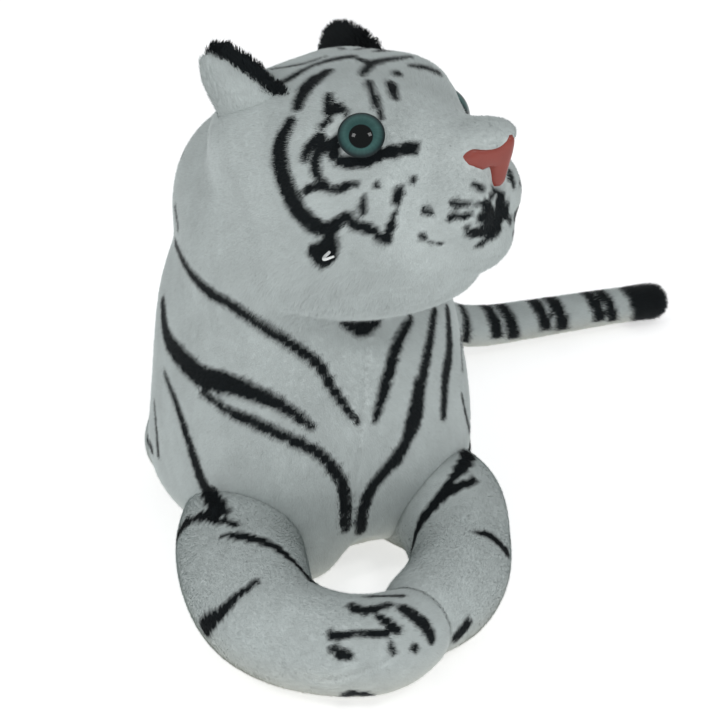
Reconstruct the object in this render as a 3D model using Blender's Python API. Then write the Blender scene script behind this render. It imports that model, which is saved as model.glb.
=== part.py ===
# Plush tiger lying on its belly, its head turned to its left and its front paws meeting ahead of the chest.
# Metres, +Z up. The tiger faces -Y and its own right side is at -X. The origin lies on the belly's rest face.
# Every sewn skin is an open shell with its own stuffing, and each part that flexes has its origin on its seam.

import math

import bmesh
import bpy
import numpy as np
from mathutils import Matrix, Vector

# Cloth, fits and running clearances
COVER_WALL = 0.0016
FILL_GAP = 0.0007
SEAM_GAP = 0.0004
REST_DEPTH = 0.0005
FORM_BLEND = 0.009
PROBE_STEP = 0.00005

# Torso: a tall front barrel and a low rear body
TORSO_WIDTH = 0.140
TORSO_LENGTH = 0.264
TORSO_HEIGHT = 0.120
NECK_SEAM_HEIGHT = 0.125
NECK_AXIS_X = 0.008
NECK_AXIS_Y = -0.086

# Head, in its own axes: forward along the nose, left and up
HEAD_LENGTH = 0.150
HEAD_WIDTH = 0.104
HEAD_HEIGHT = 0.100
HEAD_CENTRE_X = 0.017
HEAD_CENTRE_Y = -0.102
HEAD_RISE = 0.054
HEAD_YAW_DEG = 47.0
HEAD_PITCH_DEG = 4.0

# Front arms
ARM_THICKNESS = 0.044
ARM_REACH = 0.106
RING_WIDTH = 0.103
RING_CENTRE_X = 0.009
SHOULDER_Y = -0.112
PAW_MEET_X = 0.036
PAW_GAP = 0.0006
ARM_CREASE_Y = -0.147
ARM_CREASE_HEIGHT = 0.052
ARM_LIFT_DEG = 20.0

# Hind legs
HIND_LEG_LENGTH = 0.122
HIND_LEG_HEIGHT = 0.066
HIND_LEG_WIDTH = 0.050
HIND_SPLAY_DEG = 15.0
RIGHT_HIP_X = -0.041
RIGHT_HIP_Y = 0.030
LEFT_HIP_X = 0.044
LEFT_HIP_Y = 0.014
HIP_SEAM_INSET = 0.004
HIP_SEAM_HEIGHT = 0.069

# Tail
TAIL_ROOT_THICKNESS = 0.0235
TAIL_TIP_THICKNESS = 0.0180
TAIL_LENGTH = 0.142
TAIL_ROOT_X = 0.0625
TAIL_ROOT_Y = 0.0780
TAIL_ROOT_HEIGHT = 0.0330
TAIL_FLOOR_GAP = 0.0003

# Ears, in the head's axes from the head's centre
EAR_BASE = 0.044
EAR_HEIGHT = 0.030
EAR_THICKNESS = 0.009
EAR_BACK_OFFSET = 0.0235
EAR_SIDE_OFFSET = 0.036
EAR_UP_OFFSET = 0.0200
EAR_ROOT_DEPTH = 0.0140
EAR_FOLD_DEG = 12.0

# Eyes
EYE_DIAMETER = 0.018
EYE_BULGE = 0.0052
EYE_EDGE = 0.0014
EYE_SEAT_CLEARANCE = 0.0005
EYE_FORWARD = 0.0310
EYE_SIDE = 0.0330
EYE_UP = 0.0200

# Shanks and locking washers
SHANK_DIAMETER = 0.0046
SHANK_LENGTH = 0.0110
HOLE_CLEARANCE = 0.0004
WASHER_DIAMETER = 0.0118
WASHER_THICKNESS = 0.0016
WASHER_DEPTH = 0.0044

# Nose
NOSE_WIDTH = 0.0250
NOSE_HEIGHT = 0.0200
NOSE_BULGE = 0.0110
NOSE_UP = 0.0030

# Tag fastener
FASTENER_DIAMETER = 0.0014
FASTENER_RISE = 0.0060
FASTENER_REACH = 0.0060
FASTENER_FORWARD = 0.0050
FASTENER_DROP = 0.0240

# Mesh fineness
TORSO_CUTS = 7
HEAD_CUTS = 7
HEAD_FILL_CUTS = 6
HIND_CUTS = 4
EAR_CUTS = 3
NOSE_CUTS = 3
ARM_SIDES = 12
ARM_FILL_SIDES = 10
ARM_STATIONS = 11
TAIL_SIDES = 10
TAIL_STATIONS = 8
TURNED_SIDES = 14
FASTENER_SIDES = 6
FASTENER_STATIONS = 5

# Each lump: centre across, along and up, then half-size across, along and up, as shares of the torso's sizes
torso_lump_shares = (
    (0.012, -0.330, 0.520, 0.458, 0.242, 0.500),
    (0.000, -0.325, 0.330, 0.462, 0.225, 0.336),
    (-0.010, -0.292, 0.820, 0.420, 0.210, 0.500),
    (0.005, -0.110, 0.520, 0.405, 0.280, 0.440),
    (0.030, 0.040, 0.430, 0.390, 0.260, 0.435),
    (0.045, 0.230, 0.415, 0.372, 0.196, 0.420),
)
# Each lump: centre forward, left and up, then half-size forward, left and up, as shares of the head's sizes
head_lump_shares = (
    (0.000, 0.000, 0.000, 0.340, 0.465, 0.405),
    (0.290, 0.000, -0.115, 0.180, 0.255, 0.215),
    (0.060, 0.000, -0.290, 0.300, 0.480, 0.330),
    (0.240, 0.000, -0.330, 0.150, 0.200, 0.180),
    (-0.200, -0.030, -0.440, 0.310, 0.500, 0.560),
)
# Each lump of a hind leg: centre outward, forward and up, then half-size, as shares of the leg's sizes
hind_lump_shares = (
    (0.000, 0.000, 0.500, 0.500, 0.300, 0.500),
    (0.260, 0.220, 0.220, 0.340, 0.360, 0.226),
    (0.320, 0.500, 0.218, 0.310, 0.150, 0.222),
)
# The arm's centreline in plan: across as shares of half the ring's width, forward as shares of the reach
right_arm_path_shares = (
    (-0.720, 0.000), (-0.800, 0.230), (-0.790, 0.500), (-0.700, 0.730),
    (-0.480, 0.890), (-0.180, 0.965), (0.120, 0.985), (0.420, 0.955), (0.720, 0.890),
)
left_arm_path_shares = (
    (0.740, -0.060), (0.830, 0.160), (0.840, 0.400), (0.790, 0.600),
    (0.640, 0.760), (0.420, 0.850), (0.200, 0.890),
)
right_arm_thickness_shares = (1.26, 1.25, 1.20, 1.12, 1.02, 0.94, 0.91, 0.92)
left_arm_thickness_shares = (1.18, 1.14, 1.08, 1.00, 0.92, 0.86, 0.86)
# The tail's centreline: across and back as shares of its length, then height as a share of the root's height
mouth_share = 0.2
tail_path_shares = (
    (0.000, 0.000, 1.000), (0.085, 0.014, 0.700), (0.180, 0.038, 0.500), (0.300, 0.078, 0.395),
    (0.450, 0.128, 0.365), (0.640, 0.190, 0.345), (0.820, 0.246, 0.325), (0.960, 0.288, 0.300),
)
# The ear's own axes in the head's forward, left and up, for a right ear
ear_base_axis_shares = (0.94, 0.28, 0.16)
ear_tip_axis_shares = (-0.44, -0.42, 0.79)
# Directions in the head's axes, for the right side
nose_axis_shares = (0.94, 0.00, 0.34)
fastener_axis_shares = (0.30, -0.95, -0.05)
# The nose's lumps: centre across and up, then half-size across, up and out, as shares of the nose's sizes
nose_lump_shares = (
    (-0.27, 0.22, 0.25, 0.24, 0.85),
    (0.27, 0.22, 0.25, 0.24, 0.85),
    (0.00, 0.16, 0.26, 0.30, 1.00),
    (0.00, -0.22, 0.15, 0.32, 0.80),
)

tangent_share = 0.01
settle_share = 0.9

COLOURS = {
    "plush": (0.60, 0.66, 0.67, 0.90, 0.0),
    "pile_black": (0.012, 0.014, 0.017, 0.85, 0.0),
    "stuffing": (0.85, 0.85, 0.83, 0.95, 0.0),
    "eye": (0.05, 0.10, 0.10, 0.08, 0.0),
    "nose": (0.78, 0.26, 0.24, 0.25, 0.0),
    "washer": (0.85, 0.85, 0.85, 0.45, 0.0),
    "fastener": (0.88, 0.88, 0.88, 0.40, 0.0),
}


def clear_scene():
    for old in list(bpy.data.objects):
        bpy.data.objects.remove(old)


def material(name):
    found = bpy.data.materials.get(name)
    if found:
        return found
    made = bpy.data.materials.new(name)
    made.use_nodes = True
    shader = made.node_tree.nodes["Principled BSDF"]
    red, green, blue, roughness, metallic = COLOURS[name]
    shader.inputs["Base Color"].default_value = (red, green, blue, 1)
    shader.inputs["Roughness"].default_value = roughness
    shader.inputs["Metallic"].default_value = metallic
    return made


# Lumps: a centre, three half-sizes and the axes they are measured on

class Lump:
    def __init__(self, centre, half_sizes, axes=None):
        self.centre = np.array(centre, float)
        self.half_sizes = np.array(half_sizes, float)
        self.axes = np.eye(3) if axes is None else np.array(axes, float)

    def distance(self, points):
        local = (points - self.centre) @ self.axes
        near = np.linalg.norm(local / self.half_sizes, axis=1)
        slope = np.linalg.norm(local / self.half_sizes**2, axis=1)
        return near * (near - 1) / np.maximum(slope, np.finfo(float).tiny)


def form_distance(points, lumps, blend):
    nearest = np.array([lump.distance(points) for lump in lumps])
    lowest = nearest.min(axis=0)
    return lowest - blend * np.log(np.exp((lowest - nearest) / blend).sum(axis=0))


def form_slope(points, lumps, blend):
    columns = []
    for axis in range(3):
        step = np.zeros(3)
        step[axis] = PROBE_STEP
        ahead = form_distance(points + step, lumps, blend)
        behind = form_distance(points - step, lumps, blend)
        columns.append((ahead - behind) / (2 * PROBE_STEP))
    return np.stack(columns, axis=1)


def settle_on_form(points, lumps, blend, level):
    for _ in range(10):
        slope = form_slope(points, lumps, blend)
        away = form_distance(points, lumps, blend) - level
        steepness = np.maximum((slope**2).sum(axis=1), 0.25)
        points = points - slope * (away / steepness)[:, None]
    return points


def cut_below(shape, point, normal):
    """Keeps the side of a plane that the normal points away from, and closes it with a flat face."""
    everything = shape.verts[:] + shape.edges[:] + shape.faces[:]
    made = bmesh.ops.bisect_plane(
        shape, geom=everything, dist=PROBE_STEP, plane_co=point, plane_no=normal, clear_outer=True
    )
    rim = [item for item in made["geom_cut"] if isinstance(item, bmesh.types.BMEdge)]
    if rim:
        bmesh.ops.contextual_create(shape, geom=rim)


def form_shape(lumps, level, cuts, blend=FORM_BLEND, cut_planes=()):
    """One closed skin at a level of the form: nought is the outside, and a minus level lies inside it."""
    shape = bmesh.new()
    bmesh.ops.create_cube(shape, size=2)
    bmesh.ops.subdivide_edges(shape, edges=shape.edges[:], cuts=cuts, use_grid_fill=True)
    low = np.min([lump.centre - abs(lump.axes) @ lump.half_sizes for lump in lumps], axis=0)
    high = np.max([lump.centre + abs(lump.axes) @ lump.half_sizes for lump in lumps], axis=0)
    points = np.array([vertex.co.normalized() for vertex in shape.verts])
    points = points * (high - low) / 2 + (high + low) / 2
    for _ in range(8):
        points = settle_on_form(points, lumps, blend, level)
        for vertex, point in zip(shape.verts, points):
            vertex.co = point
        bmesh.ops.smooth_vert(
            shape, verts=shape.verts[:], factor=0.5, use_axis_x=True, use_axis_y=True, use_axis_z=True
        )
        points = np.array([vertex.co[:] for vertex in shape.verts])
    points = settle_on_form(points, lumps, blend, level)
    for vertex, point in zip(shape.verts, points):
        vertex.co = point
    for point, normal in cut_planes:
        cut_below(shape, point, normal)
    bmesh.ops.recalc_face_normals(shape, faces=shape.faces[:])
    return shape


# Tubes: a smooth path with a thickness along it and rounded ends

def curve_point(controls, share):
    """A smooth curve through the controls, read at a share of its whole run."""
    place = share * (len(controls) - 1)
    index = min(int(place), len(controls) - 2)
    part = place - index
    before = controls[max(index - 1, 0)]
    start, end = controls[index], controls[index + 1]
    after = controls[min(index + 2, len(controls) - 1)]
    pull_in, pull_out = (end - before) / 2, (after - start) / 2
    square, cube = part**2, part**3
    return (
        start * (2 * cube - 3 * square + 1) + pull_in * (cube - 2 * square + part)
        + end * (3 * square - 2 * cube) + pull_out * (cube - square)
    )


def tube_shape(path, radii, inset, sides, stations, cut_planes=()):
    """A closed tube along the path, each end a dome. An inset makes the same tube smaller all round."""
    path = [np.array(point, float) for point in path]
    radii = [np.array(radius, float) for radius in radii]
    rings = []
    for index in range(stations):
        share = index / (stations - 1)
        before = curve_point(path, max(share - tangent_share, 0))
        after = curve_point(path, min(share + tangent_share, 1))
        along = (after - before) / np.linalg.norm(after - before)
        rings.append((curve_point(path, share), along, float(curve_point(radii, share)) - inset))
    dome_shares = (1.0, 0.86, 0.5)
    start, along, radius = rings[0]
    domes = [
        (start - along * radius * share, along, radius * math.sqrt(1 - share**2)) for share in dome_shares[1:]
    ]
    first_pole = start - along * radius
    end, end_along, end_radius = rings[-1]
    end_domes = [
        (end + end_along * end_radius * share, end_along, end_radius * math.sqrt(1 - share**2))
        for share in reversed(dome_shares[1:])
    ]
    last_pole = end + end_along * end_radius
    shape = bmesh.new()
    loops = []
    for centre, along, radius in domes + rings + end_domes:
        side = np.cross(along, (0, 0, 1))
        side = side / np.linalg.norm(side)
        up = np.cross(side, along)
        turns = [math.tau * (number + 0.5) / sides for number in range(sides)]
        loops.append([
            shape.verts.new(centre + radius * (side * math.cos(turn) + up * math.sin(turn))) for turn in turns
        ])
    for lower, upper in zip(loops, loops[1:]):
        for number in range(sides):
            after = (number + 1) % sides
            shape.faces.new((lower[number], lower[after], upper[after], upper[number]))
    for loop, pole in ((loops[0], first_pole), (loops[-1], last_pole)):
        tip = shape.verts.new(pole)
        for number in range(sides):
            shape.faces.new((loop[number], loop[(number + 1) % sides], tip))
    bmesh.ops.recalc_face_normals(shape, faces=shape.faces[:])
    for point, normal in cut_planes:
        cut_below(shape, point, normal)
    bmesh.ops.recalc_face_normals(shape, faces=shape.faces[:])
    return shape


def turned_shape(profile, place, axis, sides=TURNED_SIDES):
    """A solid turned about the axis. The profile is (radius, height), and its two ends lie on the axis."""
    shape = bmesh.new()
    turn = Vector(axis).to_track_quat("Z", "Y").to_matrix()
    loops = []
    for radius, height in profile:
        turns = [math.tau * number / sides for number in range(sides if radius > 0 else 1)]
        ring = [Vector((radius * math.cos(angle), radius * math.sin(angle), height)) for angle in turns]
        loops.append([shape.verts.new(Vector(place) + turn @ point) for point in ring])
    for lower, upper in zip(loops, loops[1:]):
        for number in range(sides):
            after = (number + 1) % sides
            corners = [lower[number % len(lower)], lower[after % len(lower)]]
            corners += [upper[after % len(upper)], upper[number % len(upper)]]
            shape.faces.new(list(dict.fromkeys(corners)))
    bmesh.ops.recalc_face_normals(shape, faces=shape.faces[:])
    return shape


# Objects

def add_object(name, shape, colour=None, origin=(0, 0, 0)):
    bmesh.ops.translate(shape, verts=shape.verts[:], vec=-Vector(origin))
    bmesh.ops.triangulate(shape, faces=shape.faces[:])
    mesh = bpy.data.meshes.new(name)
    shape.to_mesh(mesh)
    shape.free()
    made = bpy.data.objects.new(name, mesh)
    made.location = origin
    bpy.context.scene.collection.objects.link(made)
    if colour:
        mesh.materials.append(material(colour))
        mesh.shade_smooth()
        mesh.set_sharp_from_angle(angle=math.radians(50))
    else:
        made.hide_render = True
        made.display_type = "WIRE"
    return made


def boolean(target, operation, *others):
    for other in others:
        step = target.modifiers.new(f"{operation.lower()} {other.name}", "BOOLEAN")
        step.operation = operation
        step.solver = "EXACT"
        step.object = other


def cut(target, *cutters):
    boolean(target, "DIFFERENCE", *cutters)


def swept_back(neighbour, name, pivot, axis, degrees):
    """The neighbour as a hinged piece meets it at half its swing and at the end of it."""
    swept = []
    for share in (0.5, 1.0):
        turned = bpy.data.objects.new(f"{name}_relief_{len(swept)}", neighbour.data)
        turn = Matrix.Rotation(-math.radians(degrees) * share, 4, Vector(axis))
        turned.matrix_world = Matrix.Translation(pivot) @ turn @ Matrix.Translation(-Vector(pivot))
        bpy.context.scene.collection.objects.link(turned)
        turned.hide_render = True
        turned.display_type = "WIRE"
        swept.append(turned)
    return swept


# Torso

def torso_lumps():
    sizes = np.array((TORSO_WIDTH, TORSO_LENGTH, TORSO_HEIGHT))
    return [Lump(np.array(row[:3]) * sizes, np.array(row[3:]) * sizes) for row in torso_lump_shares]


def flat_at(height):
    return ((0, 0, height), (0, 0, -1))


def build_torso(tail_socket):
    lumps = torso_lumps()
    neck_top = NECK_SEAM_HEIGHT - SEAM_GAP / 2
    fill_depth = COVER_WALL + FILL_GAP
    cover = add_object(
        "torso_cover",
        form_shape(lumps, 0, TORSO_CUTS, cut_planes=(flat_at(0), ((0, 0, neck_top), (0, 0, 1)))),
        "plush",
    )
    hollow = add_object(
        "torso_hollow", form_shape(lumps, -COVER_WALL, TORSO_CUTS, cut_planes=(flat_at(COVER_WALL),))
    )
    fill = add_object(
        "torso_stuffing",
        form_shape(
            lumps, -fill_depth, TORSO_CUTS,
            cut_planes=(flat_at(fill_depth), ((0, 0, neck_top), (0, 0, 1))),
        ),
        "stuffing",
    )
    cut(cover, hollow, tail_socket)
    cut(fill, tail_socket)
    return add_object("torso_swell", form_shape(lumps, SEAM_GAP, TORSO_CUTS))


# Head

def head_axes():
    """Columns: forward, left and up."""
    yaw, pitch = math.radians(HEAD_YAW_DEG), math.radians(HEAD_PITCH_DEG)
    level = np.array((math.sin(yaw), -math.cos(yaw), 0))
    left = np.array((math.cos(yaw), math.sin(yaw), 0))
    forward = level * math.cos(pitch) + np.array((0, 0, math.sin(pitch)))
    return np.stack((forward, left, np.cross(forward, left)), axis=1)


def head_centre():
    return np.array((HEAD_CENTRE_X, HEAD_CENTRE_Y, NECK_SEAM_HEIGHT + HEAD_RISE))


def head_place(forward, left, up):
    return head_centre() + head_axes() @ np.array((forward, left, up))


def head_direction(shares, side=1):
    forward, left, up = shares
    turned = head_axes() @ np.array((forward, left * side, up))
    return turned / np.linalg.norm(turned)


def neck_pivot():
    return (NECK_AXIS_X, NECK_AXIS_Y, NECK_SEAM_HEIGHT)


def head_lumps():
    sizes = np.array((HEAD_LENGTH, HEAD_WIDTH, HEAD_HEIGHT))
    return [
        Lump(head_place(*(np.array(row[:3]) * sizes)), np.array(row[3:]) * sizes, head_axes())
        for row in head_lump_shares
    ]


def surface_normal(lumps, point):
    slope = form_slope(point[None], lumps, FORM_BLEND)[0]
    return slope / np.linalg.norm(slope)


def surface_point(lumps, start, direction):
    """Where a line from inside the form leaves it."""
    travelled = np.array(start, float)
    for _ in range(60):
        travelled = travelled - direction * form_distance(travelled[None], lumps, FORM_BLEND)[0] * settle_share
    return travelled


def build_head(cover_cutters, fill_cutters):
    lumps = head_lumps()
    neck_bottom = NECK_SEAM_HEIGHT + SEAM_GAP / 2
    fill_depth = COVER_WALL + FILL_GAP
    neck_plane = flat_at(neck_bottom)
    outside = form_shape(lumps, 0, HEAD_CUTS, cut_planes=(neck_plane,))
    inside = form_shape(lumps, -fill_depth, HEAD_FILL_CUTS, cut_planes=(neck_plane,))
    cover = add_object("head_cover", outside, "plush", neck_pivot())
    hollow = add_object("head_hollow", form_shape(lumps, -COVER_WALL, HEAD_FILL_CUTS))
    fill = add_object("head_stuffing", inside, "stuffing", neck_pivot())
    cut(cover, hollow, *cover_cutters)
    cut(fill, *fill_cutters)


# Eyes and nose: moulded plastic on shanks, each held by a washer inside the cover

def shank_profile():
    radius = SHANK_DIAMETER / 2
    return [(radius, 0), (radius, -SHANK_LENGTH), (0, -SHANK_LENGTH)]


def hole_cutter(name, seat, axis, seat_radius):
    radius = SHANK_DIAMETER / 2 + HOLE_CLEARANCE
    deep = WASHER_DEPTH - WASHER_THICKNESS / 2
    profile = [(0, EYE_BULGE), (seat_radius, EYE_BULGE), (seat_radius, 0)]
    profile += [(radius, 0), (radius, -deep), (0, -deep)]
    if not seat_radius:
        profile = [(0, EYE_BULGE), (radius, EYE_BULGE), (radius, -deep), (0, -deep)]
    return add_object(name, turned_shape(profile, seat, axis))


def pocket_cutter(name, seat, axis):
    narrow = SHANK_DIAMETER / 2 + HOLE_CLEARANCE
    wide = WASHER_DIAMETER / 2 + HOLE_CLEARANCE
    bottom = WASHER_DEPTH + WASHER_THICKNESS + HOLE_CLEARANCE
    end = SHANK_LENGTH + HOLE_CLEARANCE
    profile = [(0, EYE_BULGE), (wide, EYE_BULGE), (wide, -bottom)]
    profile += [(narrow, -bottom), (narrow, -end), (0, -end)]
    return add_object(name, turned_shape(profile, seat, axis))


def build_washer(name, seat, axis):
    inner = SHANK_DIAMETER / 2 + HOLE_CLEARANCE
    outer = WASHER_DIAMETER / 2
    low, high = -WASHER_DEPTH - WASHER_THICKNESS, -WASHER_DEPTH
    disc = turned_shape([(0, low), (outer, low), (outer, high), (0, high)], seat, axis)
    washer = add_object(name, disc, "washer", neck_pivot())
    bore = [(0, low - WASHER_THICKNESS), (inner, low - WASHER_THICKNESS)]
    bore += [(inner, high + WASHER_THICKNESS), (0, high + WASHER_THICKNESS)]
    cut(washer, add_object(f"{name}_bore", turned_shape(bore, seat, axis)))


def eye_profile():
    """The dome is a cap of a sphere, with a short straight edge under it."""
    radius, bulge = EYE_DIAMETER / 2, EYE_BULGE - EYE_EDGE
    sphere = (radius**2 + bulge**2) / (2 * bulge)
    reach = math.asin(min(radius / sphere, 1))
    steps = 6
    dome = [(0, EYE_BULGE)]
    for step in range(1, steps + 1):
        turn = reach * step / steps
        dome.append((sphere * math.sin(turn), EYE_BULGE - sphere * (1 - math.cos(turn))))
    return dome + [(radius, 0)] + shank_profile()


def build_eye(side_name, side):
    inside = head_place(EYE_FORWARD - EYE_DIAMETER / 2, 0, EYE_UP)
    lumps = head_lumps()
    towards = head_place(EYE_FORWARD, -side * EYE_SIDE, EYE_UP) - inside
    skin = surface_point(lumps, inside, towards / np.linalg.norm(towards))
    axis = surface_normal(lumps, skin)
    flat = skin - axis * COVER_WALL / 2
    seat = flat + axis * SEAM_GAP
    add_object(f"{side_name}_eye", turned_shape(eye_profile(), seat, axis), "eye", neck_pivot())
    build_washer(f"{side_name}_eye_washer", seat, axis)
    seat_radius = EYE_DIAMETER / 2 + EYE_SEAT_CLEARANCE
    return (
        hole_cutter(f"{side_name}_eye_hole", flat, axis, seat_radius),
        pocket_cutter(f"{side_name}_eye_pocket", seat, axis),
    )


def build_nose(head_swell):
    axis = head_direction(nose_axis_shares)
    across = head_axes()[:, 1]
    up = np.cross(axis, across)
    skin = surface_point(head_lumps(), head_place(0, 0, NOSE_UP), head_axes()[:, 0])
    axes = np.stack((across, up, axis), axis=1)
    lumps = [
        Lump(
            skin + axes @ np.array((row[0] * NOSE_WIDTH, row[1] * NOSE_HEIGHT, 0)),
            (row[2] * NOSE_WIDTH, row[3] * NOSE_HEIGHT, row[4] * NOSE_BULGE),
            axes,
        )
        for row in nose_lump_shares
    ]
    nose = add_object("nose", form_shape(lumps, 0, NOSE_CUTS, blend=COVER_WALL), "nose", neck_pivot())
    shank = [(0, NOSE_BULGE / 2), (SHANK_DIAMETER / 2, NOSE_BULGE / 2)]
    shank += [(SHANK_DIAMETER / 2, -SHANK_LENGTH), (0, -SHANK_LENGTH)]
    cut(nose, head_swell)
    straight_in = surface_normal(head_lumps(), skin)
    boolean(nose, "UNION", add_object("nose_shank", turned_shape(shank, skin, straight_in)))
    build_washer("nose_washer", skin, straight_in)
    return hole_cutter("nose_hole", skin, straight_in, 0), pocket_cutter("nose_pocket", skin, straight_in)


def build_fastener():
    axis = head_direction(fastener_axis_shares)
    inside = head_place(FASTENER_FORWARD, 0, -FASTENER_DROP)
    skin = surface_point(head_lumps(), inside, axis)
    bend = head_direction((1, 0, 0.4))
    path = [
        skin - axis * COVER_WALL, skin + axis * FASTENER_RISE / 2,
        skin + axis * FASTENER_RISE + bend * FASTENER_REACH / 4,
        skin + axis * FASTENER_RISE + bend * FASTENER_REACH,
    ]
    radius = FASTENER_DIAMETER / 2
    shape = tube_shape(path, [radius] * 2, 0, FASTENER_SIDES, FASTENER_STATIONS)
    add_object("tag_fastener", shape, "fastener", neck_pivot())
    hole = radius + HOLE_CLEARANCE
    deep = COVER_WALL * 2
    profile = [(0, FASTENER_RISE / 2), (hole, FASTENER_RISE / 2), (hole, -deep), (0, -deep)]
    return add_object("fastener_hole", turned_shape(profile, skin, axis))


# Ears: a back panel and a lining, sewn round the rim and folding at the base

def build_ear(side_name, side, head_swell):
    base = head_place(-EAR_BACK_OFFSET, -side * EAR_SIDE_OFFSET, EAR_UP_OFFSET)
    along = head_direction(ear_base_axis_shares, side)
    tip = head_direction(ear_tip_axis_shares, side)
    tip = tip - along * (tip @ along)
    tip = tip / np.linalg.norm(tip)
    outward = np.cross(along, tip) * side
    axes = np.stack((along, outward, tip), axis=1)
    lump = Lump(base, (EAR_BASE / 2, EAR_THICKNESS / 2, EAR_HEIGHT), axes)
    origin = base + outward * EAR_THICKNESS / 2
    root = base - tip * EAR_ROOT_DEPTH
    split = SEAM_GAP / 2
    back = form_shape([lump], 0, EAR_CUTS, cut_planes=((base + outward * split, -outward), (root, -tip)))
    lining = form_shape([lump], 0, EAR_CUTS, cut_planes=((base - outward * split, outward), (root, -tip)))
    relief = swept_back(head_swell, f"{side_name}_ear", origin, along * side, EAR_FOLD_DEG)
    for name, shape, colour in (("back", back, "plush"), ("lining", lining, "pile_black")):
        panel = add_object(f"{side_name}_ear_{name}", shape, colour, origin)
        cut(panel, head_swell, *relief)


# Limbs

def arm_path(shares):
    height = ARM_THICKNESS / 2 - REST_DEPTH
    return [
        (RING_CENTRE_X + across * RING_WIDTH / 2, SHOULDER_Y - forward * ARM_REACH, height)
        for across, forward in shares
    ]


def build_arm(side_name, shares, thickness_shares, facing, torso_swell):
    radii = [share * ARM_THICKNESS / 2 for share in thickness_shares]
    path = arm_path(shares)
    origin = (path[0][0], ARM_CREASE_Y, ARM_CREASE_HEIGHT)
    meet = PAW_MEET_X - facing * PAW_GAP / 2
    fill_depth = COVER_WALL + FILL_GAP

    def arm_shape(inset, sides):
        planes = (flat_at(inset), ((meet - facing * inset, 0, 0), (facing, 0, 0)))
        return tube_shape(path, radii, inset, sides, ARM_STATIONS, planes)

    cover = add_object(f"{side_name}_arm_cover", arm_shape(0, ARM_SIDES), "plush", origin)
    hollow = add_object(f"{side_name}_arm_hollow", arm_shape(COVER_WALL, ARM_FILL_SIDES))
    fill = add_object(f"{side_name}_arm_stuffing", arm_shape(fill_depth, ARM_FILL_SIDES), "stuffing", origin)
    relief = swept_back(torso_swell, f"{side_name}_arm", origin, (-1, 0, 0), ARM_LIFT_DEG)
    cut(cover, hollow, torso_swell, *relief)
    cut(fill, torso_swell, *relief)


def build_hind_leg(side_name, side, hip_x, hip_y, torso_swell):
    sizes = np.array((HIND_LEG_WIDTH, HIND_LEG_LENGTH, HIND_LEG_HEIGHT))
    turn = np.array((side, -1, 1))
    lumps = [
        Lump(np.array((hip_x, hip_y, 0)) + np.array(row[:3]) * sizes * turn, np.array(row[3:]) * sizes)
        for row in hind_lump_shares
    ]
    origin = (hip_x - side * HIP_SEAM_INSET, hip_y, HIP_SEAM_HEIGHT)
    fill_depth = COVER_WALL + FILL_GAP
    outside = form_shape(lumps, 0, HIND_CUTS, cut_planes=(flat_at(0),))
    cover = add_object(f"{side_name}_hind_leg_cover", outside, "plush", origin)
    hollow = add_object(
        f"{side_name}_hind_leg_hollow",
        form_shape(lumps, -COVER_WALL, HIND_CUTS, cut_planes=(flat_at(COVER_WALL),)),
    )
    fill = add_object(
        f"{side_name}_hind_leg_stuffing",
        form_shape(lumps, -fill_depth, HIND_CUTS, cut_planes=(flat_at(fill_depth),)),
        "stuffing", origin,
    )
    relief = swept_back(torso_swell, f"{side_name}_hind_leg", origin, (0, -side, 0), HIND_SPLAY_DEG)
    cut(cover, hollow, torso_swell, *relief)
    cut(fill, torso_swell, *relief)


# Tail: its rounded root sits in a dished socket in the rump

def tail_root():
    return np.array((TAIL_ROOT_X, TAIL_ROOT_Y, TAIL_ROOT_HEIGHT))


def build_tail():
    lowest = TAIL_TIP_THICKNESS / 2 + TAIL_FLOOR_GAP
    path = []
    for across, back, height in tail_path_shares:
        place = tail_root() + np.array((across, back, 0)) * TAIL_LENGTH
        place[2] = max(TAIL_ROOT_HEIGHT * height, lowest)
        path.append(place)
    radii = [
        (TAIL_ROOT_THICKNESS + (TAIL_TIP_THICKNESS - TAIL_ROOT_THICKNESS) * index / (len(path) - 1)) / 2
        for index in range(len(path))
    ]
    origin = tuple(tail_root())
    fill_depth = COVER_WALL + FILL_GAP
    cover = add_object("tail_cover", tube_shape(path, radii, 0, TAIL_SIDES, TAIL_STATIONS), "plush", origin)
    hollow = add_object("tail_hollow", tube_shape(path, radii, COVER_WALL, TAIL_SIDES, TAIL_STATIONS))
    add_object("tail_stuffing", tube_shape(path, radii, fill_depth, TAIL_SIDES, TAIL_STATIONS), "stuffing", origin)
    along = np.array(path[1]) - np.array(path[0])
    along = along / np.linalg.norm(along)
    opening = TAIL_ROOT_THICKNESS * mouth_share
    reach = TAIL_ROOT_THICKNESS
    profile = [(0, 0), (opening, 0), (opening, reach), (0, reach)]
    mouth = add_object("tail_mouth", turned_shape(profile, origin, -along))
    cut(cover, hollow, mouth)


def tail_socket():
    radius = TAIL_ROOT_THICKNESS / 2 + SEAM_GAP
    steps = 10
    profile = [
        (radius * math.sin(math.pi * step / steps), radius * math.cos(math.pi * step / steps))
        for step in range(steps + 1)
    ]
    profile[0], profile[-1] = (0, radius), (0, -radius)
    return add_object("tail_socket", turned_shape(profile, tail_root(), (0, 0, 1)))


def main():
    clear_scene()
    torso_swell = build_torso(tail_socket())
    head_swell = add_object("head_swell", form_shape(head_lumps(), SEAM_GAP, HEAD_CUTS))
    fittings = [build_eye("right", 1), build_eye("left", -1), build_nose(head_swell)]
    holes = [hole for hole, _ in fittings] + [build_fastener()]
    build_head(holes, [pocket for _, pocket in fittings])
    build_ear("right", 1, head_swell)
    build_ear("left", -1, head_swell)
    build_arm("right", right_arm_path_shares, right_arm_thickness_shares, 1, torso_swell)
    build_arm("left", left_arm_path_shares, left_arm_thickness_shares, -1, torso_swell)
    build_hind_leg("right", -1, RIGHT_HIP_X, RIGHT_HIP_Y, torso_swell)
    build_hind_leg("left", 1, LEFT_HIP_X, LEFT_HIP_Y, torso_swell)
    build_tail()


main()
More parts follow.
